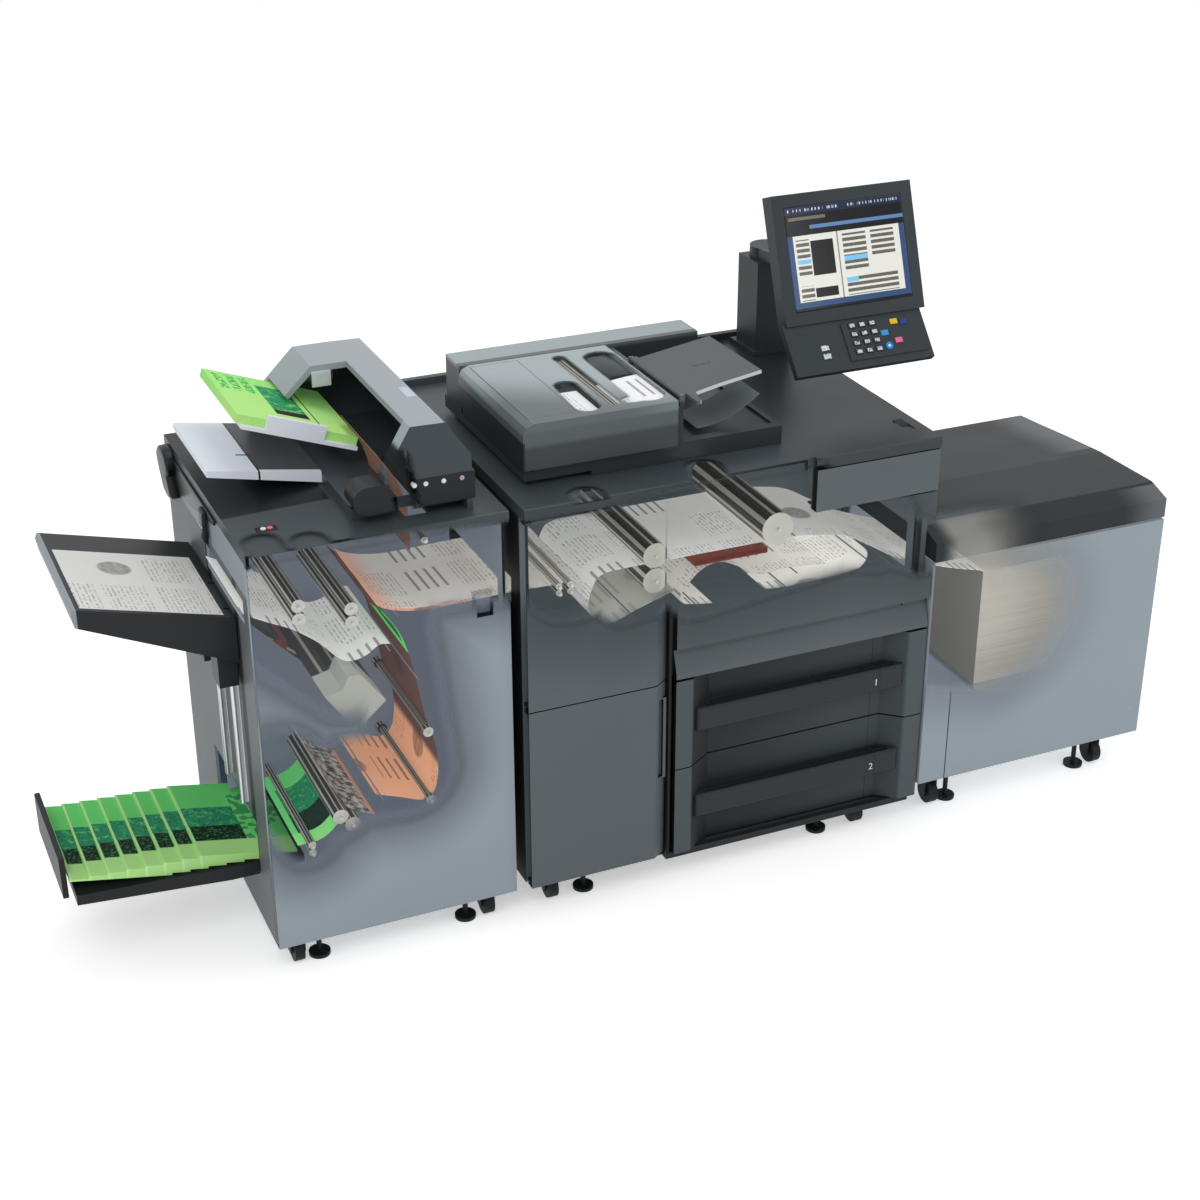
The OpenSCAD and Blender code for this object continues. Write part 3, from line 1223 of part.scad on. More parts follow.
// Operator panel: a fixed post, a swivelling arm and a tilting head with keys
post_d = 100;
post_back = 50;
post_x0 = 860;
post_w = 100;
post_y0 = main_d - post_d - post_back;
post_h = 229;
swivel_r = 12;
swivel_l = 30;
hub_r = 42;
hub_h = 28;
panel_x0 = 750;
panel_reach = 350;
panel_y = post_y0 - panel_reach;
panel_z = 1200;
panel_t = 40;
tilt_dy = 60;
tilt_dz = 110;
barrel_r = 10;
barrel_w = 56;
arm_w = 70;
arm_x = post_x0 + post_w / 2;
tilt_y = panel_y + tilt_dy * cos(panel_tilt) + tilt_dz * sin(panel_tilt);
tilt_z = panel_z - tilt_dy * sin(panel_tilt) + tilt_dz * cos(panel_tilt);
swivel_y = post_y0 + post_d / 2;
post_top = main_h + post_h;
module panel_post() at_machine() color(slate)
    difference() {
        union() {
            block(post_x0, post_x0 + post_w, post_y0, post_y0 + post_d, main_h + seat,
                post_top);
            block(post_x0 - stop_t, post_x0 + post_w + stop_t, post_y0 - stop_t,
                post_y0 + post_d + stop_t, main_h + seat, main_h + stop_t);
        }
        block(post_x0 + lid_t, post_x0 + post_w - lid_t, post_y0 + lid_t,
            post_y0 + post_d - lid_t, main_h - over, post_top - swivel_l - lid_t);
        post_z(arm_x, swivel_y, post_top - swivel_l - seat, post_top + over,
            swivel_r + slide_fit);
    }
module panel_arm() at_machine() color(slate) {
    z0 = post_top + seat;
    post_z(arm_x, swivel_y, post_top - swivel_l, z0 + over, swivel_r);
    post_z(arm_x, swivel_y, z0, z0 + hub_h, hub_r);
    along_x(arm_x - arm_w / 2, arm_x + arm_w / 2) polygon([[swivel_y, z0], [swivel_y,
        z0 + hub_h], [swivel_y - hub_r, z0 + hub_h], [tilt_y + 3 * barrel_r, tilt_z
        + 2 * barrel_r], [tilt_y + 3 * barrel_r, tilt_z - barrel_r],
        [swivel_y - hub_r, z0]]);
    along_x(arm_x - barrel_w / 2, arm_x + barrel_w / 2) polygon([[tilt_y, tilt_z
        + barrel_r * 0.8], [tilt_y + 4 * barrel_r, tilt_z + barrel_r], [tilt_y + 4 * barrel_r,
        tilt_z - barrel_r * 0.8], [tilt_y, tilt_z - barrel_r * 0.8]]);
    bar_x(tilt_y, tilt_z, arm_x - barrel_w / 2, arm_x + barrel_w / 2, barrel_r);
    bar_x(tilt_y, tilt_z, arm_x - barrel_w / 2 - stop_t, arm_x + barrel_w / 2 + stop_t,
        lug_r);
}

bezel = 28;
screen_d = 3;
key_plate_t = 18;
key_x0 = -8;
pad_t = 3;
pad_dx = 134;
key_w = 18;
key_h = 12;
key_t = 7;
key_out = 2.5;
key_travel = 1.5;
pad_len = 96;
digit_columns = [910, 936, 962];
digit_rows = [14, 35, 56, 77];
other_keys = [[1017, 18], [1041, 22], [986, 42], [1016, 64], [829, 56], [829, 76]];
start_at = [988, 74];
start_r = 9;
all_keys = concat([for (x = digit_columns, l = digit_rows) [x, l]], other_keys);
module on_head() translate([0, panel_y, panel_z]) rotate([-panel_tilt, 0, 0]) children();
// The key plate's face: x to the right, y up the plate from its lower edge, z outwards
module on_keys() translate([0, panel_y, panel_z - stop_t / 2]) rotate([90 - key_tilt, 0, 0])
    rotate([0, 0, 0]) children();
module panel_head() at_machine() color(slate) {
    on_head() {
        difference() {
            block(panel_x0, panel_x0 + panel_w, 0, panel_t, 0, panel_h);
            block(panel_x0 + bezel, panel_x0 + panel_w - bezel, -over, screen_d, bezel,
                panel_h - bezel);
        }
        block(panel_x0 + 2 * bezel, panel_x0 + panel_w - 2 * bezel, panel_t - over,
            panel_t + stop_t / 2, 2 * bezel, 2 * panel_h / 3);
        for (x = [arm_x - barrel_w / 2 - stop_t, arm_x + barrel_w / 2 + seat])
            difference() {
                union() {
                    bar_x(tilt_dy, tilt_dz, x, x + stop_t - seat, barrel_r);
                    block(x, x + stop_t - seat, panel_t - over, tilt_dy,
                        tilt_dz - barrel_r, tilt_dz + barrel_r);
                }
                bar_x(tilt_dy, tilt_dz, x - over, x + stop_t + over, lug_r + slide_fit);
            }
    }
    on_keys() {
        difference() {
            union() {
                block(panel_x0 + key_x0, panel_x0 + panel_w - stop_t, -key_plate_h,
                    key_plate_t, -key_plate_t, 0);
                block(panel_x0 + pad_dx, panel_x0 + panel_w - stop_t * 2, -pad_len, -stop_t / 2,
                    -over, pad_t);
            }
            for (k = all_keys) block(k[0] - key_w / 2 - seat, k[0] + key_w / 2 + seat,
                -k[1] - key_h / 2 - seat, -k[1] + key_h / 2 + seat,
                key_out - key_t - key_travel - seat, pad_t + over);
            translate([start_at[0], -start_at[1], key_out - key_t - key_travel - seat])
                cylinder(r = start_r + seat, h = 2 * key_t);
        }
    }
}
module number_keys() at_machine() color(soot) on_keys()
    for (k = all_keys) block(k[0] - key_w / 2, k[0] + key_w / 2, -k[1] - key_h / 2,
        -k[1] + key_h / 2, pad_t + key_out - key_t - key_travel,
        pad_t + key_out - (k[0] < panel_x0 + pad_dx ? pad_t : 0));
module start_key() at_machine() color([0.15, 0.3, 0.8]) on_keys()
    translate([start_at[0], -start_at[1], pad_t + key_out - key_t - key_travel])
        cylinder(r = start_r, h = key_t + key_travel);

// Castors, wheels and levelling feet
front_wheel_y = 80;
rear_wheel_y = 520;
wheel_x = [75, 868, -520, -80, 1080, 1560];
base_z = [frame_z0, frame_z0, fin_z0, fin_z0, lu_z0, lu_z0];
floor_gap = 0.5;
axle_z = wheel_r + floor_gap;
fork_t = 4;
fork_gap = 2;
fork_top_gap = 3;
foot_x = [158, 767, -470, -130, 1130, 1510];
foot_h = 8;
foot_stem_r = 6;
module fork(x, y, z1) {
    w = wheel_w / 2 + fork_gap;
    difference() {
        union() for (s = [x - w - fork_t, x + w])
            block(s, s + fork_t, y - shaft_r * 3, y + shaft_r * 3, axle_z - shaft_r * 2,
                z1 - seat);
        bar_x(y, axle_z, x - w - fork_t - over, x + w + fork_t + over, shaft_r + slide_fit);
    }
    block(x - w - fork_t, x + w + fork_t, y - shaft_r * 3, y + shaft_r * 3,
        axle_z + wheel_r + fork_gap - over / 2, z1 - seat);
}
module foot(x, y, z1) {
    post_z(x, y, 0, foot_h, foot_r);
    post_z(x, y, foot_h - over, z1 - seat, foot_stem_r);
    post_z(x, y, z1 - seat - foot_h, z1 - seat, foot_stem_r * 2);
}
module undercarriage() at_machine() color(soot)
    for (i = [0 : len(wheel_x) - 1], y = [front_wheel_y, rear_wheel_y]) {
        fork(wheel_x[i], y, base_z[i]);
        foot(foot_x[i], y, base_z[i]);
    }
module wheels(y) {
    l = wheel_w / 2 + fork_gap + fork_t;
    for (x = wheel_x) {
        bar_x(y, axle_z, x - wheel_w / 2, x + wheel_w / 2, wheel_r);
        bar_x(y, axle_z, x - l, x + l, shaft_r);
        bar_x(y, axle_z, x - wheel_w / 2 - over, x + wheel_w / 2 + over, shaft_r * 2);
    }
}
module front_wheels() at_machine() color(soot) wheels(front_wheel_y);
module rear_wheels() at_machine() color(soot) wheels(rear_wheel_y);

main_frame();
main_covers();
main_top_cover();
platen_glass();
finisher_frame();
finisher_top_cover();
tray_rails();
booklet_tray();
booklets();
staple_unit();
path_sheets();
inserter_housing();
inserter_trays();
insert_stack();
undercarriage();
panel_post();
lu_cabinet();
finisher_door();
output_tray();
output_sheet();
booklet_stop();
left_upper_door();
left_lower_door();
right_door();
toner_door();
paper_drawer_1();
paper_drawer_2();
power_switch();
adf_base();
adf_feed_cover();
adf_document_tray();
panel_arm();
panel_head();
number_keys();
start_key();
inserter_cover();
inserter_buttons();
lu_lid();
lu_lift_plate();
lu_stack();
front_wheels();
rear_wheels();
feed_roller();
upper_heat_roller();
lower_heat_roller();
exit_roller_upper_a();
exit_roller_lower_a();
exit_roller_upper_b();
exit_roller_lower_b();
insert_roller();
deliver_roller_upper();
deliver_roller_lower();
receive_roller_upper();
receive_roller_lower();
turn_roller_upper();
turn_roller_lower();
fold_roller_left();
fold_roller_right();
booklet_roller_upper();
booklet_roller_lower();
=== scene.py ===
"""Looks of the digital production printer: finishes, trim and the see-through panels."""

import math

import bpy
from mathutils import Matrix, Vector


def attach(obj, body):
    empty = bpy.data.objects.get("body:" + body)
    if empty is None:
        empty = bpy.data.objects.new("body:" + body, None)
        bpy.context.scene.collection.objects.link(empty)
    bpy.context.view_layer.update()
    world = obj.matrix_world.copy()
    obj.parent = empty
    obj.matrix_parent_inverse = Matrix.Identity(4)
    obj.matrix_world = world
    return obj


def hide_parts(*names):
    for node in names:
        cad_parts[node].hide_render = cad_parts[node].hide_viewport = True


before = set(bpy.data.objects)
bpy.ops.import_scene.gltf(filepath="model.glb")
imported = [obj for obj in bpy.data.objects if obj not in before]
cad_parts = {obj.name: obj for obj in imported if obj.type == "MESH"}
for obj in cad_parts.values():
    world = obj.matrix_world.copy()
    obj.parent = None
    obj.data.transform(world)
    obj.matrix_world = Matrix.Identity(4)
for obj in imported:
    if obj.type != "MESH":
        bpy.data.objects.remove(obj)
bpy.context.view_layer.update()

# The machine is set out in millimetres from the main unit's front left corner on the floor.
MIDDLE_X, MIDDLE_Y, MM = 322.5, 392.5, 0.001
# How far a window in a panel opens, where 1 is fully.
CLEAR = 0.985


def at(x, y, z):
    """A place on the machine, given in millimetres, as a point of the frame in metres."""
    return Vector(((x - MIDDLE_X) * MM, (y - MIDDLE_Y) * MM, z * MM))


# ---- Shader building ----


def maths(operation, swapped=False):
    """A method that feeds a wire and its terms to a Math node."""

    def method(self, *others):
        terms = (*others, self) if swapped else (self, *others)
        return self.finish.node("Math", {"operation": operation}, *terms)

    return method


class Wire:
    """A node's output that takes part in Python sums, each of which adds a Math node."""

    def __init__(self, finish, socket):
        self.finish, self.socket = finish, socket

    __add__ = __radd__ = maths("ADD")
    __sub__, __rsub__ = maths("SUBTRACT"), maths("SUBTRACT", swapped=True)
    __mul__ = __rmul__ = maths("MULTIPLY")
    __truediv__, __mod__ = maths("DIVIDE"), maths("FLOORED_MODULO")
    __lt__, __gt__ = maths("LESS_THAN"), maths("GREATER_THAN")
    __abs__, floor, root = maths("ABSOLUTE"), maths("FLOOR"), maths("SQRT")
    least, most = maths("MINIMUM"), maths("MAXIMUM")

    def inside(self, low, high):
        """1 between low and high, 0 elsewhere."""
        return (self > low) * (self < high)


def tone(red, green, blue):
    """A paint colour, mixed in screen values from 0 to 255."""
    return tuple(
        (c / 255 / 12.92) if c < 11 else ((c / 255 + 0.055) / 1.055) ** 2.4
        for c in (red, green, blue)
    ) + (1.0,)


class Nodes:
    """A node tree, which its wires and sums add nodes to."""

    def __init__(self, tree):
        self.tree = tree

    def node(self, kind, settings, *values, out=0, **named):
        """Adds a node: its settings first, then the values or links of its sockets."""
        made = self.tree.nodes.new("ShaderNode" + kind)
        for key, value in settings.items():
            setattr(made, key, value)
        pairs = [(made.inputs[i], v) for i, v in enumerate(values)]
        pairs += [(made.inputs[k.replace("_", " ")], v) for k, v in named.items()]
        for socket, value in pairs:
            self.feed(socket, value)
        return Wire(self, made.outputs[out])

    def feed(self, socket, value):
        if isinstance(value, Wire):
            self.tree.links.new(value.socket, socket)
        else:
            socket.default_value = value

    def ray(self, kind):
        """1 where a ray of one kind comes in."""
        return self.node("LightPath", {}, out="Is %s Ray" % kind)


class Finish(Nodes):
    """One finish of the machine: a node material that its parts share."""

    def __init__(self, name, roughness=0.5, metallic=0.0, specular=0.5):
        self.material = bpy.data.materials.new(name)
        self.material.use_nodes = True
        super().__init__(self.material.node_tree)
        self.surface = self.tree.nodes["Principled BSDF"]
        self.set(Roughness=roughness, Metallic=metallic, Specular_IOR_Level=specular)
        self.place = self.node("TexCoord", {}, out="Object")

    def glow(self, colour, strength):
        """A little light of its own: painted light on parts that are no lamp, such as what lies
        deep inside behind the panels.
        """
        return self.set(Emission_Color=colour, Emission_Strength=strength)

    def set(self, **parts):
        for name, value in parts.items():
            self.feed(self.surface.inputs[name.replace("_", " ")], value)
        return self

    def axes(self, place=None):
        """The three coordinates of a place, each as a number in metres."""
        split = self.tree.nodes.new("ShaderNodeSeparateXYZ")
        self.feed(split.inputs[0], place or self.place)
        return [Wire(self, s) for s in split.outputs]

    def machine(self):
        """The surface's place on the machine, each coordinate in its millimetres."""
        x, y, z = self.axes()
        return x * 1000 + MIDDLE_X, y * 1000 + MIDDLE_Y, z * 1000

    def facing(self):
        """The way the surface looks, as its three shares."""
        return self.axes(self.node("TexCoord", {}, out="Normal"))

    def along_sheet(self):
        """Length along and across a sheet, in metres, from its own map."""
        return self.axes(self.node("TexCoord", {}, out="UV"))[:2]

    def join(self, x, y, z=0.0):
        return self.node("CombineXYZ", {}, x, y, z)

    def sight(self, across, up, runs, soft=34.0):
        """A soft-edged window made of thick lines (x0, z0, x1, z1, half width)."""
        window = 0.0
        for x0, z0, x1, z1, half in runs:
            dx, dz = x1 - x0, z1 - z0
            share = ((across - x0) * dx + (up - z0) * dz) / (dx * dx + dz * dz)
            share = share.most(0.0).least(1.0)
            away_x, away_z = across - x0 - share * dx, up - z0 - share * dz
            away = (away_x * away_x + away_z * away_z).root()
            window = (1 - self.ramp(away, half, half + soft)).most(window)
        return window

    def noise(self, scale, detail=2.0, rough=0.5, place=None):
        place = place or self.place
        return self.node("TexNoise", {}, Vector=place, Scale=scale, Detail=detail, Roughness=rough)

    def ramp(self, value, low, high):
        """0 below low and 1 above high, smooth in between."""
        settings = {"interpolation_type": "SMOOTHSTEP"}
        return self.node("MapRange", settings, Value=value, From_Min=low, From_Max=high)

    def blend(self, factor, first, second):
        mix = self.tree.nodes.new("ShaderNodeMix")
        mix.data_type = "RGBA"
        for i, value in ((0, factor), (6, first), (7, second)):
            self.feed(mix.inputs[i], value)
        return Wire(self, mix.outputs[2])

    def bump(self, height, distance, strength=1.0):
        normal = self.node("Bump", {}, Strength=strength, Distance=distance, Height=height)
        return self.set(Normal=normal)

    def coat(self, base, place, layers, window):
        """Lays a part's own colours over its base colour, and opens its window."""
        if layers:
            base = paint_over(self, base, *layers(self, *place))
        if window:
            self.set(Alpha=1 - window(self, *place) * CLEAR)
        self.set(Base_Color=base)
        return base

    def paper(self, look, roughness, painted_light=0.42):
        """What all sheets share: a fine grain and painted light, a glow of their own that brightens
        them.
        """
        self.set(Base_Color=look, Roughness=roughness)
        if painted_light:
            self.glow(look, painted_light)
        return self.bump(self.noise(1500.0, 2.0), 0.00003, 0.4)

    def on(self, nodes):
        """Gives CAD parts this finish."""
        for node in nodes.split():
            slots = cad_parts[node].data.materials
            slots.clear()
            slots.append(self.material)
        return self


def shade(colour, factor):
    return tuple(c * factor for c in colour[:3]) + (1.0,)


# ---- What the see-through panels uncover, in millimetres on each panel ----

FINISHER_SIGHT = [
    (-20, 893, -330, 915, 74),
    (-330, 880, -570, 950, 100),
    (-300, 840, -520, 880, 96),
    (-380, 690, -500, 810, 70),
    (-285, 760, -250, 470, 66),
    (-262, 440, -400, 450, 82),
    (-430, 400, -540, 520, 66),
    (-486, 330, -570, 480, 40),
]
MAIN_SIGHT = [
    (0, 893, 120, 893, 72),
    (110, 850, 300, 880, 104),
    (300, 890, 640, 905, 92),
    (230, 770, 400, 790, 56),
    (400, 760, 770, 800, 66),
    (640, 860, 850, 800, 80),
    (850, 790, 970, 738, 50),
]
SIDE_SIGHT = [
    (1000, 760, 1110, 700, 60),
    (1010, 560, 1120, 540, 128),
    (1000, 470, 1160, 430, 70),
]
SIDE_FADE = [(1100, 560, 1220, 520, 80)]
TOP_SIGHT = [(-520, 20, -524, 84, 26), (-428, 20, -436, 56, 24)]
DECK_SIGHT = [(150, 0, 150, 30, 30), (420, 0, 436, 60, 34)]
INSERTER_SIGHT = [(-240, 1130, -222, 1010, 20)]
COVER_SIGHT = [
    (262, 145, 262, 440, 12),
    (210, 276, 203, 146, 24),
    (348, 410, 346, 160, 34),
    (300, 146, 340, 146, 14),
]

# From front to back: the inner faces of the doors, and the plates right behind them.
MAIN_DOOR, FINISHER_DOOR, FRONT_PLATE = (1.5, 25.5), (24.5, 45.5), (46.0, 55.5)
# A face whose share of one way is below this looks another way.
ASIDE = 0.35


# ---- Finishes ----


def paint_over(f, base, *layers):
    """Lays colours over a base, each where its mask is 1."""
    for mask, colour in layers:
        base = f.blend(mask, base, colour)
    return base


def shaded_gap_faces(f, y):
    """The edges of a door or drawer front, painted dark as the shade that shows as dark lines in
    the gaps.
    """
    nx, ny, nz = f.facing()
    return (abs(ny) < ASIDE) * (y > 0.9) * (y < 20.0)


def panel_paint(name, colour, layers=None, window=None, glow=None):
    """Powder paint on a steel panel: fine orange peel, faint clouding, scuffs low down."""
    f = Finish(name, roughness=0.48, specular=0.22)
    x, y, z = f.machine()
    cloud = f.noise(2.4, 3.0)
    fine = f.noise(60.0, 4.0, 0.7)
    scuff = f.ramp(fine, 0.64, 0.74) * f.ramp(450 - z, 0.0, 400.0)
    base = f.blend(cloud, shade(colour, 0.92), shade(colour, 1.06))
    base = f.blend(scuff * 0.3, base, shade(colour, 1.5))
    base = f.coat(base, (x, y, z), layers, window)
    f.set(Roughness=cloud * 0.12 + 0.42 + scuff * 0.15)
    f.bump(f.noise(900.0, 2.0), 0.00006, 0.5)
    # Painted light: glow lights the faces behind the windows, which are no lamp.
    if glow:
        f.glow(f.blend(glow(f, x, y, z), (0, 0, 0, 1), base), 0.5)
    return f


def moulded(
    name, colour, roughness=0.5, grain=0.0001, size=1400.0, layers=None, window=None, lit=0.0
):
    """Moulded plastic with the fine spark grain of office machines."""
    f = Finish(name, roughness=roughness, specular=0.2)
    speck = f.noise(size, 3.0, 0.6)
    cloud = f.noise(7.0, 2.0)
    base = f.blend(cloud, shade(colour, 0.92), shade(colour, 1.07))
    base = f.coat(base, f.machine(), layers, window)
    f.set(Roughness=speck * 0.16 + cloud * 0.08 + (roughness - 0.12))
    f.bump(speck, grain, 0.6)
    # lit is painted light on parts that are no lamp; only the lamp lens is a real light.
    if lit:
        f.glow(base, lit)
    return f


def steel(name, colour, roughness=0.32, stretch=(40.0, 900.0, 900.0)):
    """Steel with drawn lines, lighter and duller in patches."""
    f = Finish(name, roughness=roughness, metallic=0.9)
    lines = f.noise(1.0, 3.0, 0.7, f.node("Mapping", {}, Vector=f.place, Scale=stretch))
    patch = f.noise(14.0, 2.0)
    base = f.blend(lines, shade(colour, 0.8), shade(colour, 1.12))
    f.set(Base_Color=base, Roughness=lines * 0.14 + patch * 0.1 + (roughness - 0.1))
    f.bump(lines, 0.00004, 0.5)
    return f


# Painted reflections along a roller: the middle and half the width of each light streak, where a
# full turn is 2.
REFLECTION_STREAKS = [(-0.62, 0.03), (-0.3, 0.035), (-0.08, 0.05), (0.17, 0.03), (0.4, 0.045)]


def roller_finish(name, colour, cap, highlight_colour):
    """A ground roller with painted reflections, light lengthwise streaks with dark bands beside
    them, a pale turned end and a glow of painted light.
    """
    f = Finish(name, roughness=0.3, metallic=0.35)
    x, y, z = f.machine()
    nx, ny, nz = f.facing()
    turn = f.node("Math", {"operation": "ARCTAN2"}, nx + nz, nz - nx) / math.pi
    # Painted reflections: light streaks and dark bands at fixed turns round the roller.
    highlight, dark_reflection = turn.inside(0.6, 0.66), turn.inside(-0.9, -0.8)
    for middle, half in REFLECTION_STREAKS:
        highlight = highlight.most(turn.inside(middle - half, middle + half))
        dark_reflection = dark_reflection.most(turn.inside(middle + half, middle + half * 2.6))
    rubbed = f.noise(160.0, 3.0)
    end = 1 - f.ramp(y, 58.3, 58.7)
    base = f.blend(highlight * 0.85, shade(colour, 0.9), highlight_colour)
    base = f.blend(dark_reflection * 0.7, base, shade(colour, 0.35))
    base = f.blend(rubbed * 0.2, base, shade(colour, 1.3))
    look = f.blend(end, base, cap)
    f.set(Base_Color=look, Roughness=rubbed * 0.2 + 0.22, Metallic=0.4 - end * 0.3)
    f.glow(look, 0.25)
    f.bump(rubbed, 0.00003, 0.5)
    return f


# Measures of the printed layout in metres: a block along and across the sheet, a text row.
BLOCK_U, BLOCK_V, TEXT_ROW = 0.105, 0.15, 0.0092


def print_marks(f, u, v, start):
    """Made-up page layout: text rows across the feed, ruled tables and grey pictures."""
    along, across, lines = (u + start) / BLOCK_U, v / BLOCK_V, u / TEXT_ROW
    block = f.join(along.floor(), across.floor(), 3.0 + start)
    kind = f.node("TexWhiteNoise", {"noise_dimensions": "3D"}, Vector=block)
    inner_u, inner_v = along % 1.0, across % 1.0
    margin = inner_u.inside(0.08, 0.92) * inner_v.inside(0.1, 0.9)
    words = f.noise(1.0, 1.0, 0.5, f.join(lines.floor() * 7.31, v * 210, kind * 9))
    text = (lines % 1.0 < 0.36) * (words > 0.5) * (kind < 0.5)
    ruled = ((u / 0.021) % 1.0 < 0.3) * inner_v.inside(0.2, 0.86)
    table = ruled * kind.inside(0.5, 0.7)
    away_u, away_v = (inner_u - 0.5) * BLOCK_U, (inner_v - 0.5) * BLOCK_V
    blob = 1 - f.ramp((away_u * away_u + away_v * away_v).root(), 0.03, 0.038)
    tones = f.noise(60.0, 3.0, 0.7, f.join(u, v))
    picture = blob * (kind > 0.84) * (tones * 0.9 + 0.1)
    return (text * 0.5).most(table * 0.62).most(picture) * margin


INK = tone(52, 52, 54)


def page(name, sheet, ink=INK, far=None, change=None, start=0.0, green=False, shaded_bend=None):
    """Printed paper; far is its colour past a change, and a bend may be given whose inside face is
    painted in shade.

    A green sheet has a printed patch at its near end.
    """
    f = Finish(name, roughness=0.7, specular=0.2)
    u, v = f.along_sheet()
    base = f.blend(f.noise(8.0, 2.0), shade(sheet, 0.95), shade(sheet, 1.03))
    if far:
        base = f.blend(f.ramp(u, *change), base, far)
    marks = print_marks(f, u, v, start)
    base = f.blend(marks, base, ink)
    if green:
        patch, margin = u.inside(0.04, 0.158), (v < 0.112).most(u.inside(0.14, 0.158))
        base = f.blend(patch, base, tone(40, 98, 58))
        base = f.blend(patch * margin, base, tone(104, 214, 112))
    # Painted shade on the inside face of the bend.
    if shaded_bend:
        nx, ny, nz = f.facing()
        base = f.blend(u.inside(*shaded_bend) * (nz > 0.1) * 0.8, base, tone(134, 134, 128))
    return f.paper(base, 0.72 - marks * 0.2)


def cover_page():
    """The green cover on its way out, with its picture, black block and pale margins."""
    f = Finish("cover_leaf", roughness=0.6, specular=0.2)
    u, v = f.along_sheet()
    share = (v - 0.093) / 0.297
    wash, marks = f.noise(70.0, 4.0, 0.7, f.join(u, v)), f.noise(240.0, 2.0, 0.8, f.join(u, v))
    field = u.inside(0.012, 0.11)
    picture, black = share.inside(0.42, 0.78) * field, share.inside(0.15, 0.42) * field
    look = paint_over(
        f,
        tone(118, 232, 130),
        (picture * f.ramp(wash, 0.25, 0.5), tone(36, 156, 104)),
        (picture * (marks > 0.56) * 0.7, tone(20, 84, 60)),
        (black, tone(16, 30, 22)),
        (black * (marks > 0.6) * 0.5, tone(60, 170, 110)),
        (share.inside(0.0, 0.15), tone(150, 244, 140)),
    )
    return f.paper(look, wash * 0.15 + 0.5, 0.3)


def folded_print():
    """The folded sheet's dark picture, its pale margins and the brown inside of its fold."""
    f = Finish("folded_page", roughness=0.7, specular=0.2)
    u, v = f.along_sheet()
    wash = f.noise(52.0, 4.0, 0.7, f.join(u, v))
    look = paint_over(
        f,
        tone(176, 174, 168),
        (f.ramp(wash, 0.38, 0.6) * u.inside(0.01, 0.165), tone(58, 58, 56)),
        (u.inside(0.084, 0.094), tone(138, 96, 74)),
        (u < 0.009, tone(176, 136, 114)),
    )
    return f.paper(look, wash * 0.15 + 0.62)


def output_tray_layers(f, x, y, z):
    # Painted highlight: the tray's left end light along its rim; black below.
    return [((x < -886) * (z > 800), tone(146, 154, 160)), (z < 745, BLACK)]


def booklet_layers(f, x, y, z):
    """Made-up green cover: a bright field, a teal picture, a black block and a pale foot."""
    share = (y - 160) / 310
    step = (-694 - x) / 39.0
    wash = f.noise(52.0, 4.0, 0.7)
    marks = f.ramp(f.noise(150.0, 2.0, 0.8), 0.56, 0.6)
    side = x.inside(-576, -480) * share.inside(0.2, 0.86)
    boxes = (f.noise(46.0, 1.0, 0.2) > 0.5) * side
    picture = share.inside(0.4, 0.66) * (1 - side)
    black = share.inside(0.2, 0.4) * (x < -576) * (step % 1.0).inside(0.02, 0.82)
    black = black.most(x.inside(-680, -576) * share.inside(0.2, 0.4))
    edge = (step % 1.0 > 0.86) * (step > -0.2)
    return [
        (1 - f.ramp(share, 0.18, 0.24), tone(186, 242, 150)),
        (picture * f.ramp(wash, 0.3, 0.5), tone(40, 150, 106)),
        (picture * marks * 0.8, tone(30, 92, 66)),
        (boxes * 0.7, tone(30, 118, 84)),
        (black, tone(14, 26, 20)),
        (black * marks * 0.5, tone(60, 190, 110)),
        (edge, tone(204, 250, 168)),
    ]


def insert_layers(f, x, y, z):
    """The same print on the inserter's stack, whose picture lies to the right."""
    share = (y - 311.7) / 295.7
    wash, marks = f.noise(40.0, 4.0, 0.7), f.noise(120.0, 2.0, 0.8)
    right = x.inside(-400, -330)
    picture = right * share.inside(0.3, 0.82)
    boxes = x.inside(-490, -410) * share.inside(0.6, 0.94) * (marks > 0.5)
    boxes = boxes * ((x / 27) % 1.0).inside(0.1, 0.8)
    fold = x.inside(-318, -315) * (share > 0.1)
    leaves = f.noise(1.0, 2.0, 0.6, f.join(x * 0.01, 0.0, (z - x * 0.364) * 1.4))
    side = (share < 0.01).most(share > 0.99)
    return [
        (f.ramp(share, 0.3, 0.9) * 0.5, tone(132, 226, 116)),
        (picture * f.ramp(wash, 0.3, 0.5), tone(30, 150, 92)),
        (boxes, tone(44, 168, 84)),
        (picture * (marks > 0.55) * 0.7, tone(20, 84, 52)),
        (right * share.inside(0.2, 0.3), tone(18, 32, 22)),
        (fold, tone(40, 60, 36)),
        (side * f.ramp(leaves, 0.5, 0.58) * 0.5, tone(150, 190, 96)),
    ]


DARK = tone(92, 100, 104)
PALE = tone(154, 165, 173)
BLACK = tone(30, 33, 36)
GLOSS_BLACK = tone(20, 23, 26)
# The shade round the finisher's inner parts, painted on its inner walls.
INSIDE_SHADE = tone(110, 118, 130)


def finisher_room(f, x, y, z):
    return y.inside(46.0, 716.0) * x.inside(-566.5, -29.0) * z.inside(78.5, 975.0)


def finisher_inside(f, x, y, z):
    """Inner walls and path plates, painted darker than the shell as the shade round the inner
    parts; the finisher_room glow lights them with painted light.
    """
    side = (x < -570.5) * (z < 900)
    posts = side * y.inside(134, 168).most(y.inside(352, 392)) * (z > 200)
    right = (x > -29.5) * (y < 700)
    return [
        (finisher_room(f, x, y, z), INSIDE_SHADE),
        (side, tone(104, 109, 113)),
        (posts, tone(40, 44, 48)),
        (right, tone(26, 30, 33)),
    ]


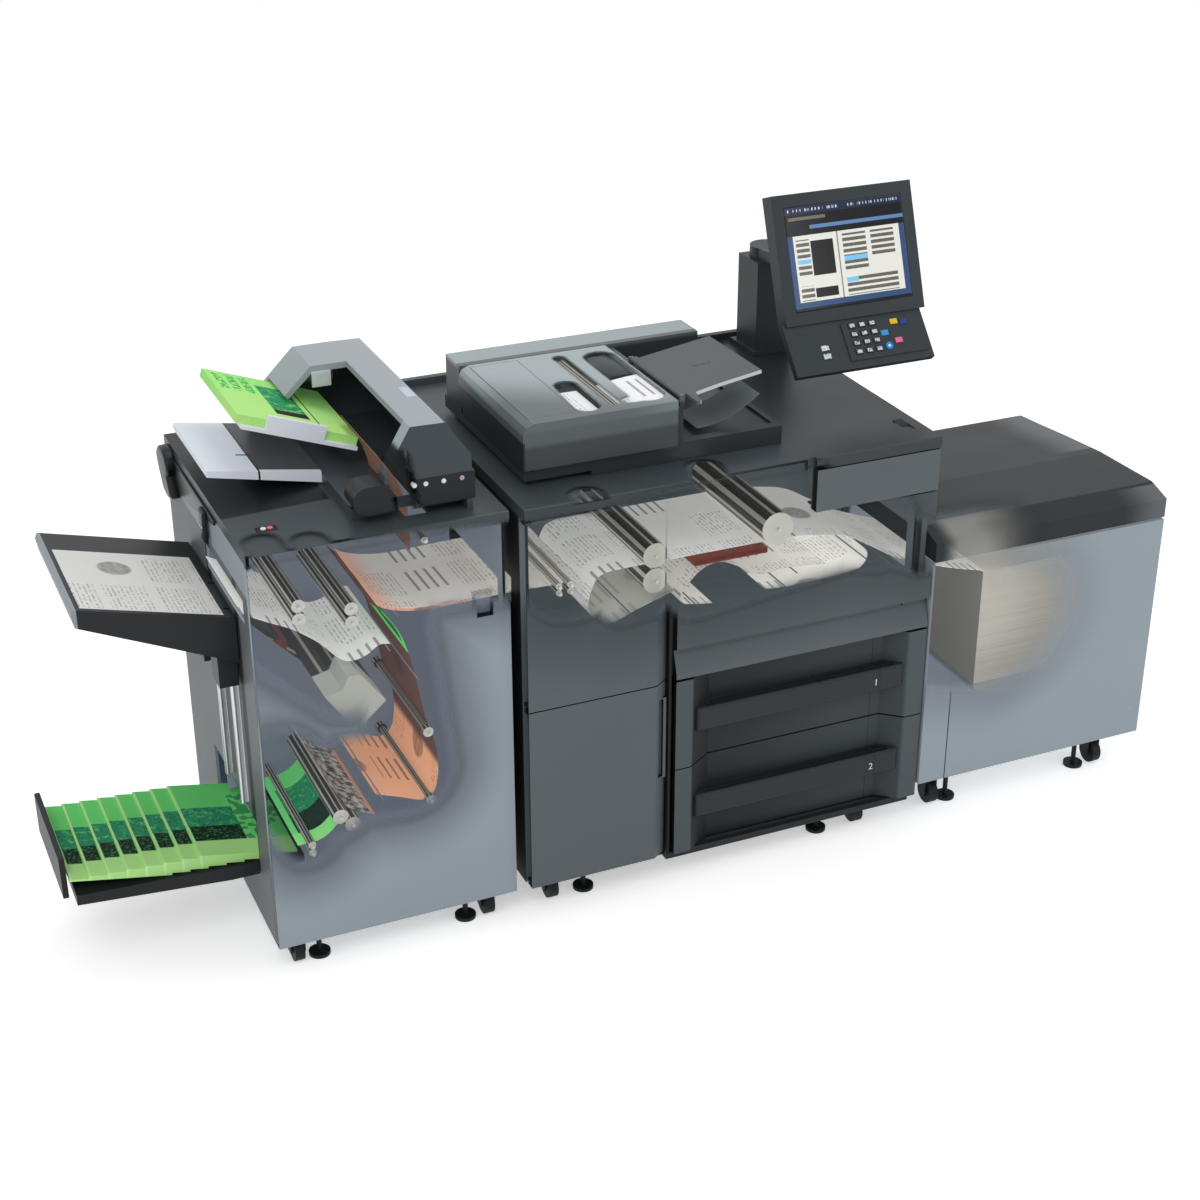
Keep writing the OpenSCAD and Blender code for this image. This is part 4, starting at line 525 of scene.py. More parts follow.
def main_room(f, x, y, z):
    return y.inside(46.0, 416.0) * x.inside(18.0, 972.0) * z.inside(544.0, 1001.0)


def frame_layers(f, x, y, z):
    chute = x.inside(414, 596) * z.inside(776, 790) * y.inside(54.2, 413.8)
    return [
        (main_room(f, x, y, z), tone(80, 88, 93)),
        (chute * (y < 380), tone(112, 62, 56)),
        (y < 40, tone(30, 34, 37)),
    ]


def door_window(f, x, z, runs, left, soft=34.0):
    """A window in a door; faces that look aside, left of one place, stay whole."""
    nx, ny, nz = f.facing()
    return f.sight(x, z, runs, soft) * (x > left).most(abs(ny) > ASIDE)


def door_layers(f, x, y, z):
    # Painted shade: the edge faces in the gaps and a small notch, near-black.
    notch = x.inside(922, 928) * z.inside(598, 611)
    return [(shaded_gap_faces(f, y).most(notch), tone(12, 14, 16))]


def shaded_door(f, x, y, z):
    """The doors that uncover the paper path keep a soft shade below it."""
    shade_round = f.sight(x, z, MAIN_SIGHT, 210.0) * (z < 900)
    # Painted shade and light: the inner faces round the window take a colour that stands in for the
    # shade there, and glow.
    back = y.inside(*MAIN_DOOR) * f.sight(x, z, MAIN_SIGHT)
    shades = [(shade_round * 0.62, tone(46, 51, 56)), (back, tone(84, 93, 100))]
    return shades + door_layers(f, x, y, z)


def shaded_finisher_door(f, x, y, z):
    shade_round = f.sight(x, z, FINISHER_SIGHT, 165.0)
    # Painted shade and light: the inner faces round the window take a colour that stands in for the
    # shade there, and glow.
    back = y.inside(*FINISHER_DOOR) * f.sight(x, z, FINISHER_SIGHT, 56.0)
    return [
        (shade_round * 0.82, tone(88, 95, 106)),
        (back, tone(116, 124, 136)),
        # Painted shade in the gaps.
        (shaded_gap_faces(f, y - 23), tone(20, 22, 25)),
    ]


def drawer_layers(f, x, y, z):
    bar = x.inside(404, 934.5) * ((z - 168.4) % 225.0).inside(0.0, 58.2) * (y > 1.9)
    # Painted shade: the edge faces in the gaps and the notches near-black; the step and seams are
    # dark joints.
    edge = z.inside(306.4, 310.4).most(z < 85.4).most(z > 531.4).most(x < 350.5)
    notch = x.inside(922, 928) * ((z - 296) % 225.0).inside(0.0, 11.0) * (y < 12)
    step = x.inside(712, 716) * ((z - 222.0) % 225.0).inside(0.0, 5.0)
    seams = x.inside(870, 871.8) * (y > 1)
    dark = (edge * (y > 0.9)).most(notch).most(step).most(seams * 0.8)
    # Painted shade: the sunk dish darker, most of all towards the left.
    shaded_dish = f.blend(f.ramp(x, 380.0, 900.0), tone(30, 34, 37), tone(58, 65, 69))
    return [
        (f.ramp(y, 1.0, 5.0), shaded_dish),
        (bar, tone(42, 47, 51)),
        (dark, tone(14, 16, 18)),
    ]


def cabinet_room(f, x, y, z):
    return y.inside(-3.0, 592.0) * x.inside(999.5, 1622.5)


def cabinet_layers(f, x, y, z):
    seam = x.inside(1063.8, 1066.6) * (y < -4.0) * (z < 694)
    shade_round = f.sight(x, z, SIDE_SIGHT + SIDE_FADE, 170.0) * (y < 1.0)
    shade_round = shade_round * (1 - f.ramp(z, 330.0, 460.0))
    return [
        (shade_round * 0.4, tone(96, 103, 111)),
        (cabinet_room(f, x, y, z), tone(134, 142, 150)),
        (seam, tone(30, 34, 38)),
    ]


def main_deck_layers(f, x, y, z):
    # Painted reflection: the deck's top darker towards the back right.
    return [(f.ramp(x, 560.0, 800.0) * (z > 980), tone(36, 42, 46)), (y < 6, tone(58, 64, 68))]


def cover_layers(f, x, y, z):
    return [((x < 1.0) * (z < 1003), tone(24, 28, 31)), ((z < 84) * (y < 30), tone(34, 38, 41))]


def deck_layers(f, x, y, z):
    """The deep shade that the inserter's trays keep on the finisher's top."""
    left = f.ramp(x * -1, 336.0, 342.0) * f.ramp(y - (x + 574) * 0.062, 214.0, 222.0)
    return [(left * (z > 999), tone(22, 25, 28))]


def staple_layers(f, x, y, z):
    """A pale head in front of the dark rods, painted highlight streaks across the rods, and the
    red-brown guide behind it.
    """
    rods = f.ramp(y, 150.0, 154.0)
    return [
        (rods, tone(58, 56, 53)),
        # Painted highlights: light streaks across the rods.
        (rods * (((x * 0.64 + z * 0.77) / 34.0) % 1.0 < 0.16), tone(138, 136, 128)),
        (x.inside(-520, -428) * (z < 650), tone(104, 62, 58)),
    ]


def stack_layers(f, x, y, z):
    leaves = f.noise(1.0, 2.0, 0.6, f.join(x * 0.002, y * 0.002, z * 1.9))
    nx, ny, nz = f.facing()
    return [
        # Painted light: the top painted lighter and the left side darker.
        (nz > 0.5, tone(232, 230, 222)),
        (nx < -0.5, tone(124, 122, 114)),
        (f.ramp(leaves, 0.5, 0.62) * 0.35, tone(120, 116, 106)),
    ]


def feeder_layers(f, x, y, z):
    """The feeder's top, lighter than its front: partly its own two-tone plastic and partly painted
    light from above; the pale ridge along its back is a painted highlight.
    """
    top = f.ramp(z, 1138, 1147)
    # Painted light on the top, and a painted highlight on the ridge at the back.
    return [(top, tone(92, 100, 103)), (top * (y > 500), tone(156, 167, 170))]


def feed_cover_layers(f, x, y, z):
    """A pale lid over a dark foot, with the lines of its inner panel; the left side is painted in
    shade, and the top painted lighter towards the back as a highlight.
    """
    inner = x.inside(60, 172) * y.inside(126, 466)
    line = inner * (1 - x.inside(61.4, 170.6) * y.inside(127.4, 464.6)) * (z > 1148)
    side = (x < 42) * (z < 1110)
    return [
        (f.ramp(z, 1092, 1106), tone(88, 96, 99)),
        # Painted shade on the left side.
        (side, tone(40, 45, 48)),
        (f.ramp(z, 1126, 1136), tone(96, 105, 108)),
        # Painted highlight: the top lighter towards the back.
        (f.ramp(z, 1126, 1136) * f.ramp(y + x * 0.6, 240, 480), tone(162, 173, 176)),
        (line, tone(44, 49, 52)),
    ]


def inserter_layers(f, x, y, z):
    console = (z < 1085.5) * (y < 128.6) * (z > 1024.0)
    # The top is painted pale like the cover: partly its own pale plastic, partly a painted
    # highlight from above.
    top = f.ramp(z, 1112, 1128) * (y > 65.6) * (1 - x.inside(-209, -99) * (z < 1190))
    return [(top, tone(160, 168, 174)), (console, BLACK)]


def tray_layers(f, x, y, z):
    inner = (x > -462) * (z < 1072) * (y > 322)
    seam = x.inside(-464, -460) * (z < 1072)
    slot = x.inside(-486, -456) * y.inside(405, 412) * (z > 1045) * (z < 1072)
    return [(inner, tone(66, 68, 70)), (seam.most(slot), tone(16, 17, 18))]


def rim_layers(f, x, y, z):
    """The document tray's pale edge line and its small marks."""
    nx, ny, nz = f.facing()
    marks = ((y + x * 0.1) % 40.0).inside(0.0, 5.0) * (f.noise(500.0, 2.0) > 0.5)
    marks = marks * x.inside(486, 530) * y.inside(196, 262)
    return [((abs(nz) < 0.6) * (x > 424), tone(200, 206, 208)), (marks, tone(26, 28, 30))]


def key_place(y, z):
    """Length down the key plate from its upper edge."""
    return (290 - y) * 0.656 + (1194 - z) * 0.7547


def key_layers(f, x, y, z):
    down = key_place(y, z)
    across, below = (x - 897) / 26, (down - 3.5) / 21
    mark = (across % 1.0).inside(0.26, 0.74) * (below % 1.0).inside(0.3, 0.7)
    mark = mark * (f.noise(420.0, 2.0) > 0.44) * (x < 975)
    white = mark.most((x < 850) * f.ramp(f.noise(240.0, 2.0), 0.4, 0.5))
    return [
        (white, tone(214, 220, 226)),
        (x.inside(1005, 1029) * (down < 30), tone(226, 190, 40)),
        (x.inside(1029, 1056), tone(38, 66, 140)),
        (x.inside(974, 998) * (down > 30), tone(60, 150, 214)),
        (x.inside(1004, 1028) * (down > 46), tone(228, 110, 146)),
    ]


def start_layers(f, x, y, z):
    down = key_place(y, z) - 74
    away = ((x - 988) * (x - 988) + down * down).root()
    return [(1 - f.ramp(away, 3.2, 3.8), tone(206, 230, 246))]


def button_layers(f, x, y, z):
    return [(x > -128, tone(206, 140, 176)), ((x > -108) * (z > 1073), tone(120, 190, 226))]


panel_paint("main_cover_paint", DARK, cover_layers).on("main_covers")
panel_paint("lower_door_paint", DARK, door_layers).on("left_lower_door")
panel_paint("drawer_paint", tone(76, 85, 89), drawer_layers).on("paper_drawer_1 paper_drawer_2")
panel_paint("toner_door_paint", DARK, door_layers).on("toner_door")
# The glow given below to the doors' inner faces and to the rooms behind the windows is painted
# light.
panel_paint(
    "main_door_paint",
    DARK,
    layers=shaded_door,
    window=lambda f, x, y, z: door_window(f, x, z, MAIN_SIGHT, 4.0),
    glow=lambda f, x, y, z: f.sight(x, z, MAIN_SIGHT) * y.inside(*MAIN_DOOR),
).on("left_upper_door right_door")
panel_paint(
    "main_frame_paint",
    tone(70, 77, 84),
    layers=frame_layers,
    window=lambda f, x, y, z: f.sight(x, z, MAIN_SIGHT, 90.0)
    * y.inside(*FRONT_PLATE).most(x.inside(335.0, 343.0) * (y < 420)),
    glow=main_room,
).on("main_frame")
panel_paint(
    "finisher_door_paint",
    PALE,
    layers=shaded_finisher_door,
    window=lambda f, x, y, z: door_window(f, x, z, FINISHER_SIGHT, -568.0, 56.0),
    glow=lambda f, x, y, z: f.sight(x, z, FINISHER_SIGHT, 56.0) * y.inside(*FINISHER_DOOR),
).on("finisher_door")
panel_paint(
    "finisher_frame_paint",
    PALE,
    layers=finisher_inside,
    window=lambda f, x, y, z: f.sight(x, z, FINISHER_SIGHT, 90.0)
    * y.inside(*FRONT_PLATE)
    * (x > -567.5),
    glow=finisher_room,
).on("finisher_frame")
panel_paint(
    "cabinet_paint",
    PALE,
    layers=cabinet_layers,
    window=lambda f, x, y, z: f.sight(x, z, SIDE_SIGHT, 60.0).most(
        f.sight(x, z, SIDE_FADE, 210.0)
    )
    * (y < 3.0),
    glow=cabinet_room,
).on("lu_cabinet")
moulded(
    "main_deck_plastic",
    tone(66, 74, 78),
    0.36,
    layers=main_deck_layers,
    window=lambda f, x, y, z: (f.sight(x, z, MAIN_SIGHT[:4], 26.0) * (y < 6.2)).most(
        f.sight(x, y, DECK_SIGHT, 16.0) * (z > 999.0)
    ),
).on("main_top_cover")
moulded(
    "finisher_deck_plastic",
    tone(66, 73, 77),
    0.36,
    layers=deck_layers,
    window=lambda f, x, y, z: (f.sight(x, z, FINISHER_SIGHT[:3], 22.0) * (y < 29.2)).most(
        f.sight(x, y, TOP_SIGHT, 24.0) * (z > 1000.0)
    ),
).on("finisher_top_cover")
moulded(
    "inserter_plastic",
    tone(64, 71, 76),
    0.38,
    layers=inserter_layers,
    window=lambda f, x, y, z: f.sight(x, z, INSERTER_SIGHT, 14.0) * (y < 128.6),
).on("inserter_housing")
moulded("inserter_cover_plastic", tone(160, 168, 174), 0.38).on("inserter_cover")
moulded("feeder_plastic", tone(48, 54, 57), 0.36, layers=feeder_layers).on("adf_base")
feed_cover_plastic = moulded(
    "feed_cover_plastic",
    tone(62, 68, 71),
    0.34,
    layers=feed_cover_layers,
    window=lambda f, x, y, z: f.sight(x, y, COVER_SIGHT, 9.0) * (z > 1146.5),
).on("adf_feed_cover")
moulded("document_tray_plastic", tone(88, 91, 92), 0.5, layers=rim_layers).on("adf_document_tray")
moulded(
    "lid_plastic",
    tone(33, 40, 44),
    0.44,
    layers=lambda f, x, y, z: [(f.ramp(x, 1500.0, 1620.0) * (z < 765), tone(96, 100, 104))],
    window=lambda f, x, y, z: f.ramp(x, 1000.0, 1060.0)
    * (1 - f.ramp(x, 1110.0, 1330.0))
    * (1 - f.ramp(y, 40.0, 170.0))
    * 0.92,
).on("lu_lid")
moulded("post_plastic", tone(44, 49, 53), 0.42).on("panel_post panel_arm")
moulded("head_plastic", tone(50, 56, 60), 0.44).on("panel_head")
moulded("black_plastic", BLACK, 0.45).on("booklet_tray booklet_stop power_switch undercarriage")
moulded("output_tray_plastic", tone(34, 38, 41), 0.42, layers=output_tray_layers).on("output_tray")
# The trays and the staple unit below glow with painted light.
moulded("tray_plastic", tone(206, 211, 219), 0.4, layers=tray_layers, lit=0.2).on("inserter_trays")
moulded("button_plastic", tone(226, 228, 232), 0.35, layers=button_layers).on("inserter_buttons")
moulded("key_plastic", tone(46, 51, 54), 0.44, layers=key_layers).on("number_keys")
moulded("start_plastic", tone(46, 132, 206), 0.3, layers=start_layers).on("start_key")
moulded("staple_plastic", tone(158, 160, 152), 0.4, layers=staple_layers, lit=0.4).on("staple_unit")
moulded("wheel_plastic", tone(24, 26, 28), 0.5).on("front_wheels rear_wheels")
steel("drawn_steel", tone(214, 217, 220)).on("tray_rails lu_lift_plate")
dark_roller = roller_finish(
    "dark_roller", tone(70, 68, 61), tone(190, 190, 182), tone(200, 197, 184)
).on(
    "feed_roller upper_heat_roller lower_heat_roller deliver_roller_upper deliver_roller_lower "
    "receive_roller_upper receive_roller_lower fold_roller_left fold_roller_right "
    "booklet_roller_upper booklet_roller_lower turn_roller_upper turn_roller_lower "
    "exit_roller_lower_a exit_roller_lower_b insert_roller"
)
roller_finish("pale_roller", tone(150, 148, 140), tone(196, 196, 190), tone(232, 230, 222)).on(
    "exit_roller_upper_a exit_roller_upper_b"
)
# The sixth column is painted light: a glow that brightens the stacks.
for name, colour, grain, size, layers, painted_light, node in (
    ("stack_paper", tone(186, 182, 172), 0.00005, 600.0, stack_layers, 0.3, "lu_stack"),
    ("booklet_paper", tone(112, 226, 122), 0.00004, 900.0, booklet_layers, 0.0, "booklets"),
    ("insert_paper", tone(176, 228, 132), 0.00004, 900.0, insert_layers, 0.1, "insert_stack"),
):
    roughness = 0.8 if node == "lu_stack" else 0.7
    moulded(name, colour, roughness, grain, size, layers=layers, lit=painted_light).on(node)
moulded("platen_glass", tone(110, 124, 128), 0.08, 0.00001).on("platen_glass")

# ---- Sheets on their way through the machine ----


# In millimetres: the step in which runs are set out, the path's height over the floor, the
# front and back edges of a sheet, and the thickness it is drawn with.
PATH_STEP, PATH_HEIGHT, SHEET_FRONT, SHEET_BACK, SHEET_THICKNESS = 100, 790, 85.5, 382.5, 0.8
# How many straight pieces a curve has between two of its places.
PIECES = 6


def bend(a, b, c, d, t):
    """A point on the smooth curve from b to c, where t is its share of the way."""
    square, cube = 2 * a - 5 * b + 4 * c - d, 3 * b - a - 3 * c + d
    return 0.5 * (2 * b + (c - a) * t + square * t**2 + cube * t**3)


def curve(places):
    """A smooth run through places given as (x, height over the path), in path steps."""
    points = [Vector((x * PATH_STEP, PATH_HEIGHT + z * PATH_STEP)) for x, z in places]
    run, last = [], len(points) - 1
    for i in range(last):
        four = [points[max(i - 1, 0)], points[i], points[i + 1], points[min(i + 2, last)]]
        run += [bend(*four, k / PIECES) for k in range(PIECES)]
    return run + [points[last]]


def sheet_piece(
    name, run, finish, y0=SHEET_FRONT, y1=SHEET_BACK, lift=0.0, body="machine"
):
    """A sheet, drawn out edge by edge along its run and given its thickness."""
    start_piece()
    run = [at(p[0], (y0 + y1) / 2, p[1] + lift) for p in run]
    first = run[1] - run[0]
    turn = (0, -math.atan2(first.z, first.x), 0)
    bpy.ops.mesh.primitive_plane_add(size=1, location=(run[0] + run[1]) / 2, rotation=turn)
    sheet = bpy.context.object
    sheet.name = name
    sheet.scale = (first.length, (y1 - y0) * MM, 1)
    settle(sheet)
    ends = [v.index for v in sheet.data.vertices if (v.co - run[1]).xz.length < first.length / 2]
    select_vertices(sheet, ends)
    for near, far in zip(run[1:], run[2:]):
        extrude(far - near)
    leave_edit()
    lengths = [0.0]
    for near, far in zip(run, run[1:]):
        lengths.append(lengths[-1] + (far - near).length)
    chart = sheet.data.uv_layers[0]
    nearest = [
        min(range(len(run)), key=lambda i: (run[i] - v.co).xz.length) for v in sheet.data.vertices
    ]
    for loop in sheet.data.loops:
        place = sheet.data.vertices[loop.vertex_index].co
        chart.data[loop.index].uv = (lengths[nearest[loop.vertex_index]], place.y + 0.4)
    add_modifier(sheet, "SOLIDIFY", thickness=SHEET_THICKNESS * MM, offset=0.0)
    smooth(sheet, 50)
    wear(sheet, finish, body)
    return sheet


# ---- Modelling helpers ----


def start_piece():
    if bpy.context.object and bpy.context.object.mode != "OBJECT":
        leave_edit()
    bpy.ops.object.select_all(action="DESELECT")


def pick(piece):
    """Makes a piece the only one selected."""
    start_piece()
    bpy.context.view_layer.objects.active = piece
    piece.select_set(True)


def leave_edit():
    bpy.ops.object.mode_set(mode="OBJECT")


def extrude(step):
    """Draws what is selected out by a step in metres."""
    bpy.ops.mesh.extrude_region_move(TRANSFORM_OT_translate={"value": step})


def settle(piece):
    """Puts a piece's place, turn and size into its mesh."""
    pick(piece)
    bpy.ops.object.transform_apply(location=True, rotation=True, scale=True)


def clear_selection(piece, kind):
    """Leaves nothing of a piece selected, and one kind of element to select."""
    bpy.context.view_layer.objects.active = piece
    bpy.ops.object.mode_set(mode="EDIT")
    bpy.ops.mesh.select_mode(type=kind)
    bpy.ops.mesh.select_all(action="DESELECT")
    leave_edit()


def select_vertices(piece, picked):
    clear_selection(piece, "VERT")
    for index in picked:
        piece.data.vertices[index].select = True
    bpy.ops.object.mode_set(mode="EDIT")


def select_faces(piece, test):
    """Selects the faces whose middle and normal pass a test, and stays in edit mode."""
    clear_selection(piece, "FACE")
    for face in piece.data.polygons:
        face.select = test(face.center, face.normal)
    bpy.ops.object.mode_set(mode="EDIT")


def add_modifier(piece, kind, **settings):
    pick(piece)
    made = piece.modifiers.new(kind.lower(), kind)
    for key, value in settings.items():
        setattr(made, key, value)
    bpy.ops.object.modifier_apply(modifier=made.name)


def smooth(piece, degrees=35):
    pick(piece)
    bpy.ops.object.shade_smooth_by_angle(angle=math.radians(degrees))


def wear(piece, finish, body):
    piece.data.materials.clear()
    piece.data.materials.append(finish.material)
    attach(piece, body)


def slab(name, low, high):
    """A block between two corners in millimetres."""
    start_piece()
    low, high = Vector(low), Vector(high)
    bpy.ops.mesh.primitive_cube_add(size=1, location=at(*((low + high) / 2)))
    piece = bpy.context.object
    piece.name = name
    piece.scale = (high - low) * MM
    settle(piece)
    return piece


# The ways a face can look, and the turns that lay a round piece's axis along x or along y.
FRONT, REAR, LEFT, UP = (0, -1, 0), (0, 1, 0), (-1, 0, 0), (0, 0, 1)
ALONG_X, ALONG_Y = (0, math.radians(90), 0), (math.radians(90), 0, 0)


def disc(name, middle, radius, depth, sides=32, turn=(0, 0, 0), scale=(1, 1, 1)):
    """A round piece about its middle, with all measures in millimetres."""
    start_piece()
    bpy.ops.mesh.primitive_cylinder_add(
        vertices=sides, radius=radius * MM, depth=depth * MM, location=at(*middle), rotation=turn
    )
    piece = bpy.context.object
    piece.name = name
    piece.scale = scale
    settle(piece)
    return piece


def sink(piece, normal, rim, depth):
    """Insets the faces that look one way and pushes them in, or out if depth is negative."""
    select_faces(piece, lambda centre, facing: facing.dot(Vector(normal)) > 0.9)
    bpy.ops.mesh.inset(thickness=rim * MM, depth=0)
    bpy.ops.transform.translate(value=Vector(normal) * (-depth * MM))
    leave_edit()


def round_edges(piece, radius, segments):
    sharp = {"limit_method": "ANGLE", "angle_limit": math.radians(30)}
    add_modifier(piece, "BEVEL", width=radius * MM, segments=segments, **sharp)
    smooth(piece)


def complete(piece, finish, edge, segments=2, body="machine"):
    """Rounds a piece's edges and gives it its finish, its carrier and its slot."""
    round_edges(piece, edge, segments)
    wear(piece, finish, body)


# Where the sheets run, set out with the photograph in view: (x, height over the path).
STACK_RUN = [
    (11.9, -1.86), (10.8, -1.55), (9.5, -1.06), (8.76, -0.63), (8.09, -0.26), (7.26, -0.08),
    (6.6, 0), (6.19, 0), (5.4, 0), (3.23, 0), (2.6, 0), (2.15, -0.03), (1.92, -0.2),
    (1.76, -0.71), (1.89, -1.04), (2.16, -1.24), (2.46, -1.22), (2.95, -1.04), (3.83, -0.77),
]
LOWER_RUN = [
    (8.45, -0.52), (8.68, -0.78), (8.58, -1.06), (8.2, -1.18), (6.73, -1.23), (6.07, -1.18),
]
MIDDLE_RUN = [
    (7.6, -0.85), (6.71, -0.76), (5.85, -0.78), (5.39, -0.49), (4.93, -0.29), (4.5, -0.38),
    (4.1, -0.74), (3.97, -0.99), (4.11, -1.16), (4.76, -1.27),
]
EXIT_RUN = [
    (1.6, -0.07), (1.24, -0.07), (0.98, -0.07), (-0.01, -0.05), (-1.48, -0.08), (-2.04, -0.06),
    (-2.58, 0.05), (-2.9, 0.2), (-2.98, 0.3),
]
OUTPUT_RUN = [
    (-2.71, -0.7), (-2.95, -0.68), (-3.24, -0.86), (-3.57, -0.92), (-3.83, -0.79), (-4.23, -0.35),
    (-4.74, 0.05), (-5.24, 0.32), (-5.74, 0.6),
]
FOLD_RUN = [
    (-3.11, 0.35), (-2.81, 0), (-2.45, -0.61), (-2.21, -1.5), (-2.06, -2.39), (-1.965, -2.83),
    (-1.88, -3.05), (-1.79, -3.57), (-1.78, -3.96), (-1.82, -4.27), (-1.88, -4.45),
    (-1.955, -4.57), (-2.05, -4.61), (-2.23, -4.62), (-2.69, -4.43), (-3.14, -4.26),
    (-3.5, -4.12), (-3.74, -4.22), (-3.867, -4.464), (-3.95, -4.55), (-4.033, -4.636),
    (-4.12, -4.78), (-4.3, -4.95), (-4.52, -5.05), (-4.74, -5.06), (-4.98, -5.08),
]
INSERT_RUN = [(-2.62, 3.3), (-2.25, 2.7), (-2.06, 2.1), (-2.03, 1.64), (-2.03, 1.1)]
FOLDED_RUN = [
    (-3.24, -4.75), (-3.52, -4.6), (-3.84, -4.42), (-3.99, -4.1), (-4.2, -3.75), (-4.36, -3.47),
]

white_page = page("white_page", tone(232, 232, 228), shaded_bend=(1.09, 1.4))
grey_page = page("grey_page", tone(206, 205, 200), start=0.03)
loop_page = page("loop_page", tone(222, 221, 216), start=0.05)
exit_page = page("exit_page", tone(216, 212, 204), INK, tone(230, 180, 156), (0.22, 0.3), 0.02)
fold_page = page(
    "fold_page", tone(98, 72, 64), tone(70, 48, 40), tone(234, 176, 140), (0.43, 0.46), 0.01, True
)
insert_page = page("insert_page", tone(122, 92, 78), ink=tone(70, 46, 38), start=0.07)
slip_page = page("slip_page", tone(216, 216, 220), ink=tone(70, 70, 76), start=0.06)

fold_run = curve(FOLD_RUN)
sheets = [
    sheet_piece("sheet_from_stack", curve(STACK_RUN), white_page),
    sheet_piece("sheet_lower_loop", curve(LOWER_RUN), loop_page),
    sheet_piece("sheet_middle_loop", curve(MIDDLE_RUN), grey_page),
    sheet_piece("sheet_at_exit", curve(EXIT_RUN), exit_page),
    sheet_piece("sheet_over_exit", curve(EXIT_RUN)[18:-3], exit_page, y0=97.5, lift=1.1),
    sheet_piece("sheet_to_tray", curve(OUTPUT_RUN), white_page),
    sheet_piece("sheet_to_fold", fold_run[:92], fold_page),
    sheet_piece("cover_after_fold", fold_run[114:], cover_page()),
    sheet_piece("folded_sheet", curve(FOLDED_RUN), folded_print()),
    sheet_piece("sheet_inserted", curve(INSERT_RUN), insert_page, y0=131.0),
]
for sheet in sheets:
    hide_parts("path_sheets")


def tray_sheet():
    """The sheet that lies on the output tray takes the same print, from its own place."""
    f = Finish("tray_page", roughness=0.7, specular=0.3)
    x, y, z = f.machine()
    marks = print_marks(f, x / -1000, y / 1000, 0.02)
    look = f.blend(marks, tone(226, 225, 222), tone(50, 50, 52))
    f.paper(look, 0.72 - marks * 0.2, 0.0).on("output_sheet")


tray_sheet()

# ---- Operator panel's display ----

# The screen's lean, and the place of its lower edge in millimetres.
LEAN, HEAD_Y, HEAD_Z = math.radians(20), 290, 1200
SINE, COSINE = math.sin(LEAN), math.cos(LEAN)


def display_look():
    f = Finish("display_glass", roughness=0.16, specular=0.25)
    x, y, z = f.machine()
    s = (x - 778) / 302
    t = ((y - HEAD_Y) * SINE + (z - HEAD_Z) * COSINE - 28) / 234

    def field(*areas):
        """1 in the screen's areas, each given as (left, right, low, high)."""
        whole = 0.0
        for left, right, low, high in areas:
            whole = (s.inside(left, right) * t.inside(low, high)).most(whole)
        return whole

    words = f.noise(1.0, 2.0, 0.5, f.join(x * 0.8, t * 260)) > 0.4
    rows = ((t / 0.054) % 1.0 > 0.4) * (words * 0.5 + 0.5)
    lists = field(
        (0.07, 0.18, 0.1, 0.24),
        (0.07, 0.18, 0.33, 0.68),
        (0.46, 0.66, 0.33, 0.69),
        (0.70, 0.90, 0.45, 0.69),
        (0.46, 0.90, 0.1, 0.28),
    )
    picked = field(
        (0.07, 0.18, 0.45, 0.49), (0.46, 0.66, 0.43, 0.475), (0.46, 0.56, 0.225, 0.27)
    )
    spread = f.noise(1.0, 1.0, 0.5, f.join(x * 0.23, 0, 0))
    ticks = field((0.02, 0.97, 0.945, 0.97)) * (spread > 0.54)
    tabs = field((0.03, 0.34, 0.865, 0.895)) * words
    look = paint_over(
        f,
        tone(10, 12, 16),
        (t > 0.92, tone(26, 38, 66)),
        (ticks, tone(206, 214, 226)),
        (tabs, tone(120, 112, 104)),
        (field((0.2, 1.0, 0.775, 0.81)), tone(92, 130, 178)),
        (field((0.0, 1.0, 0.035, 0.72)), tone(48, 76, 118)),
        (field((0.05, 0.95, 0.09, 0.72)), tone(226, 226, 218)),
        (field((0.415, 0.425, 0.09, 0.72)), tone(120, 120, 116)),
        (field((0.19, 0.38, 0.33, 0.66), (0.19, 0.38, 0.12, 0.21)), tone(14, 15, 16)),
        (lists * rows, tone(84, 80, 74)),
        (picked, tone(122, 196, 236)),
    )
    f.set(Base_Color=look, Roughness=f.noise(30.0, 2.0) * 0.1 + 0.12)
    return f.glow(look, 0.16)


def display_piece():
    start_piece()
    # The middle of the glass, up the leaning face and out of it.
    up, out = 145, -1.8
    middle = at(929, HEAD_Y + up * SINE - out * COSINE, HEAD_Z + up * COSINE + out * SINE)
    bpy.ops.mesh.primitive_cube_add(size=1, location=middle, rotation=(-LEAN, 0, 0))
    glass = bpy.context.object
    glass.name = "panel_display"
    glass.scale = (0.3, 0.0024, 0.232)
    settle(glass)
    sink(glass, (0, -COSINE, SINE), 2.0, 0.4)
    complete(glass, display_look(), 0.4, body="panel_head_body")


display_piece()

# ---- Trim on the outside ----

gloss_black = moulded("gloss_black_plastic", GLOSS_BLACK, 0.34)
mark_white = moulded("mark_white", tone(222, 226, 230), 0.5, 0.00002)
label_plain = moulded("plain_label", tone(206, 212, 216), 0.45, 0.00002)
ridge_label = moulded("ridge_label_plastic", tone(196, 200, 214), 0.4, 0.00002)
lamp_red = moulded("lamp_red_glass", tone(214, 92, 84), 0.2, 0.00001, lit=0.3)
screw_steel = steel("screw_steel", tone(150, 152, 154), 0.4, (300.0, 300.0, 300.0))


def plate(
    name, low, high, finish, rim, depth, way=UP, edge=0.4, segments=2,
    body="machine"
):
    """A block with one face sunk, or raised if depth is negative."""
    piece = slab(name, low, high)
    sink(piece, way, rim, depth)
    complete(piece, finish, edge, segments, body)


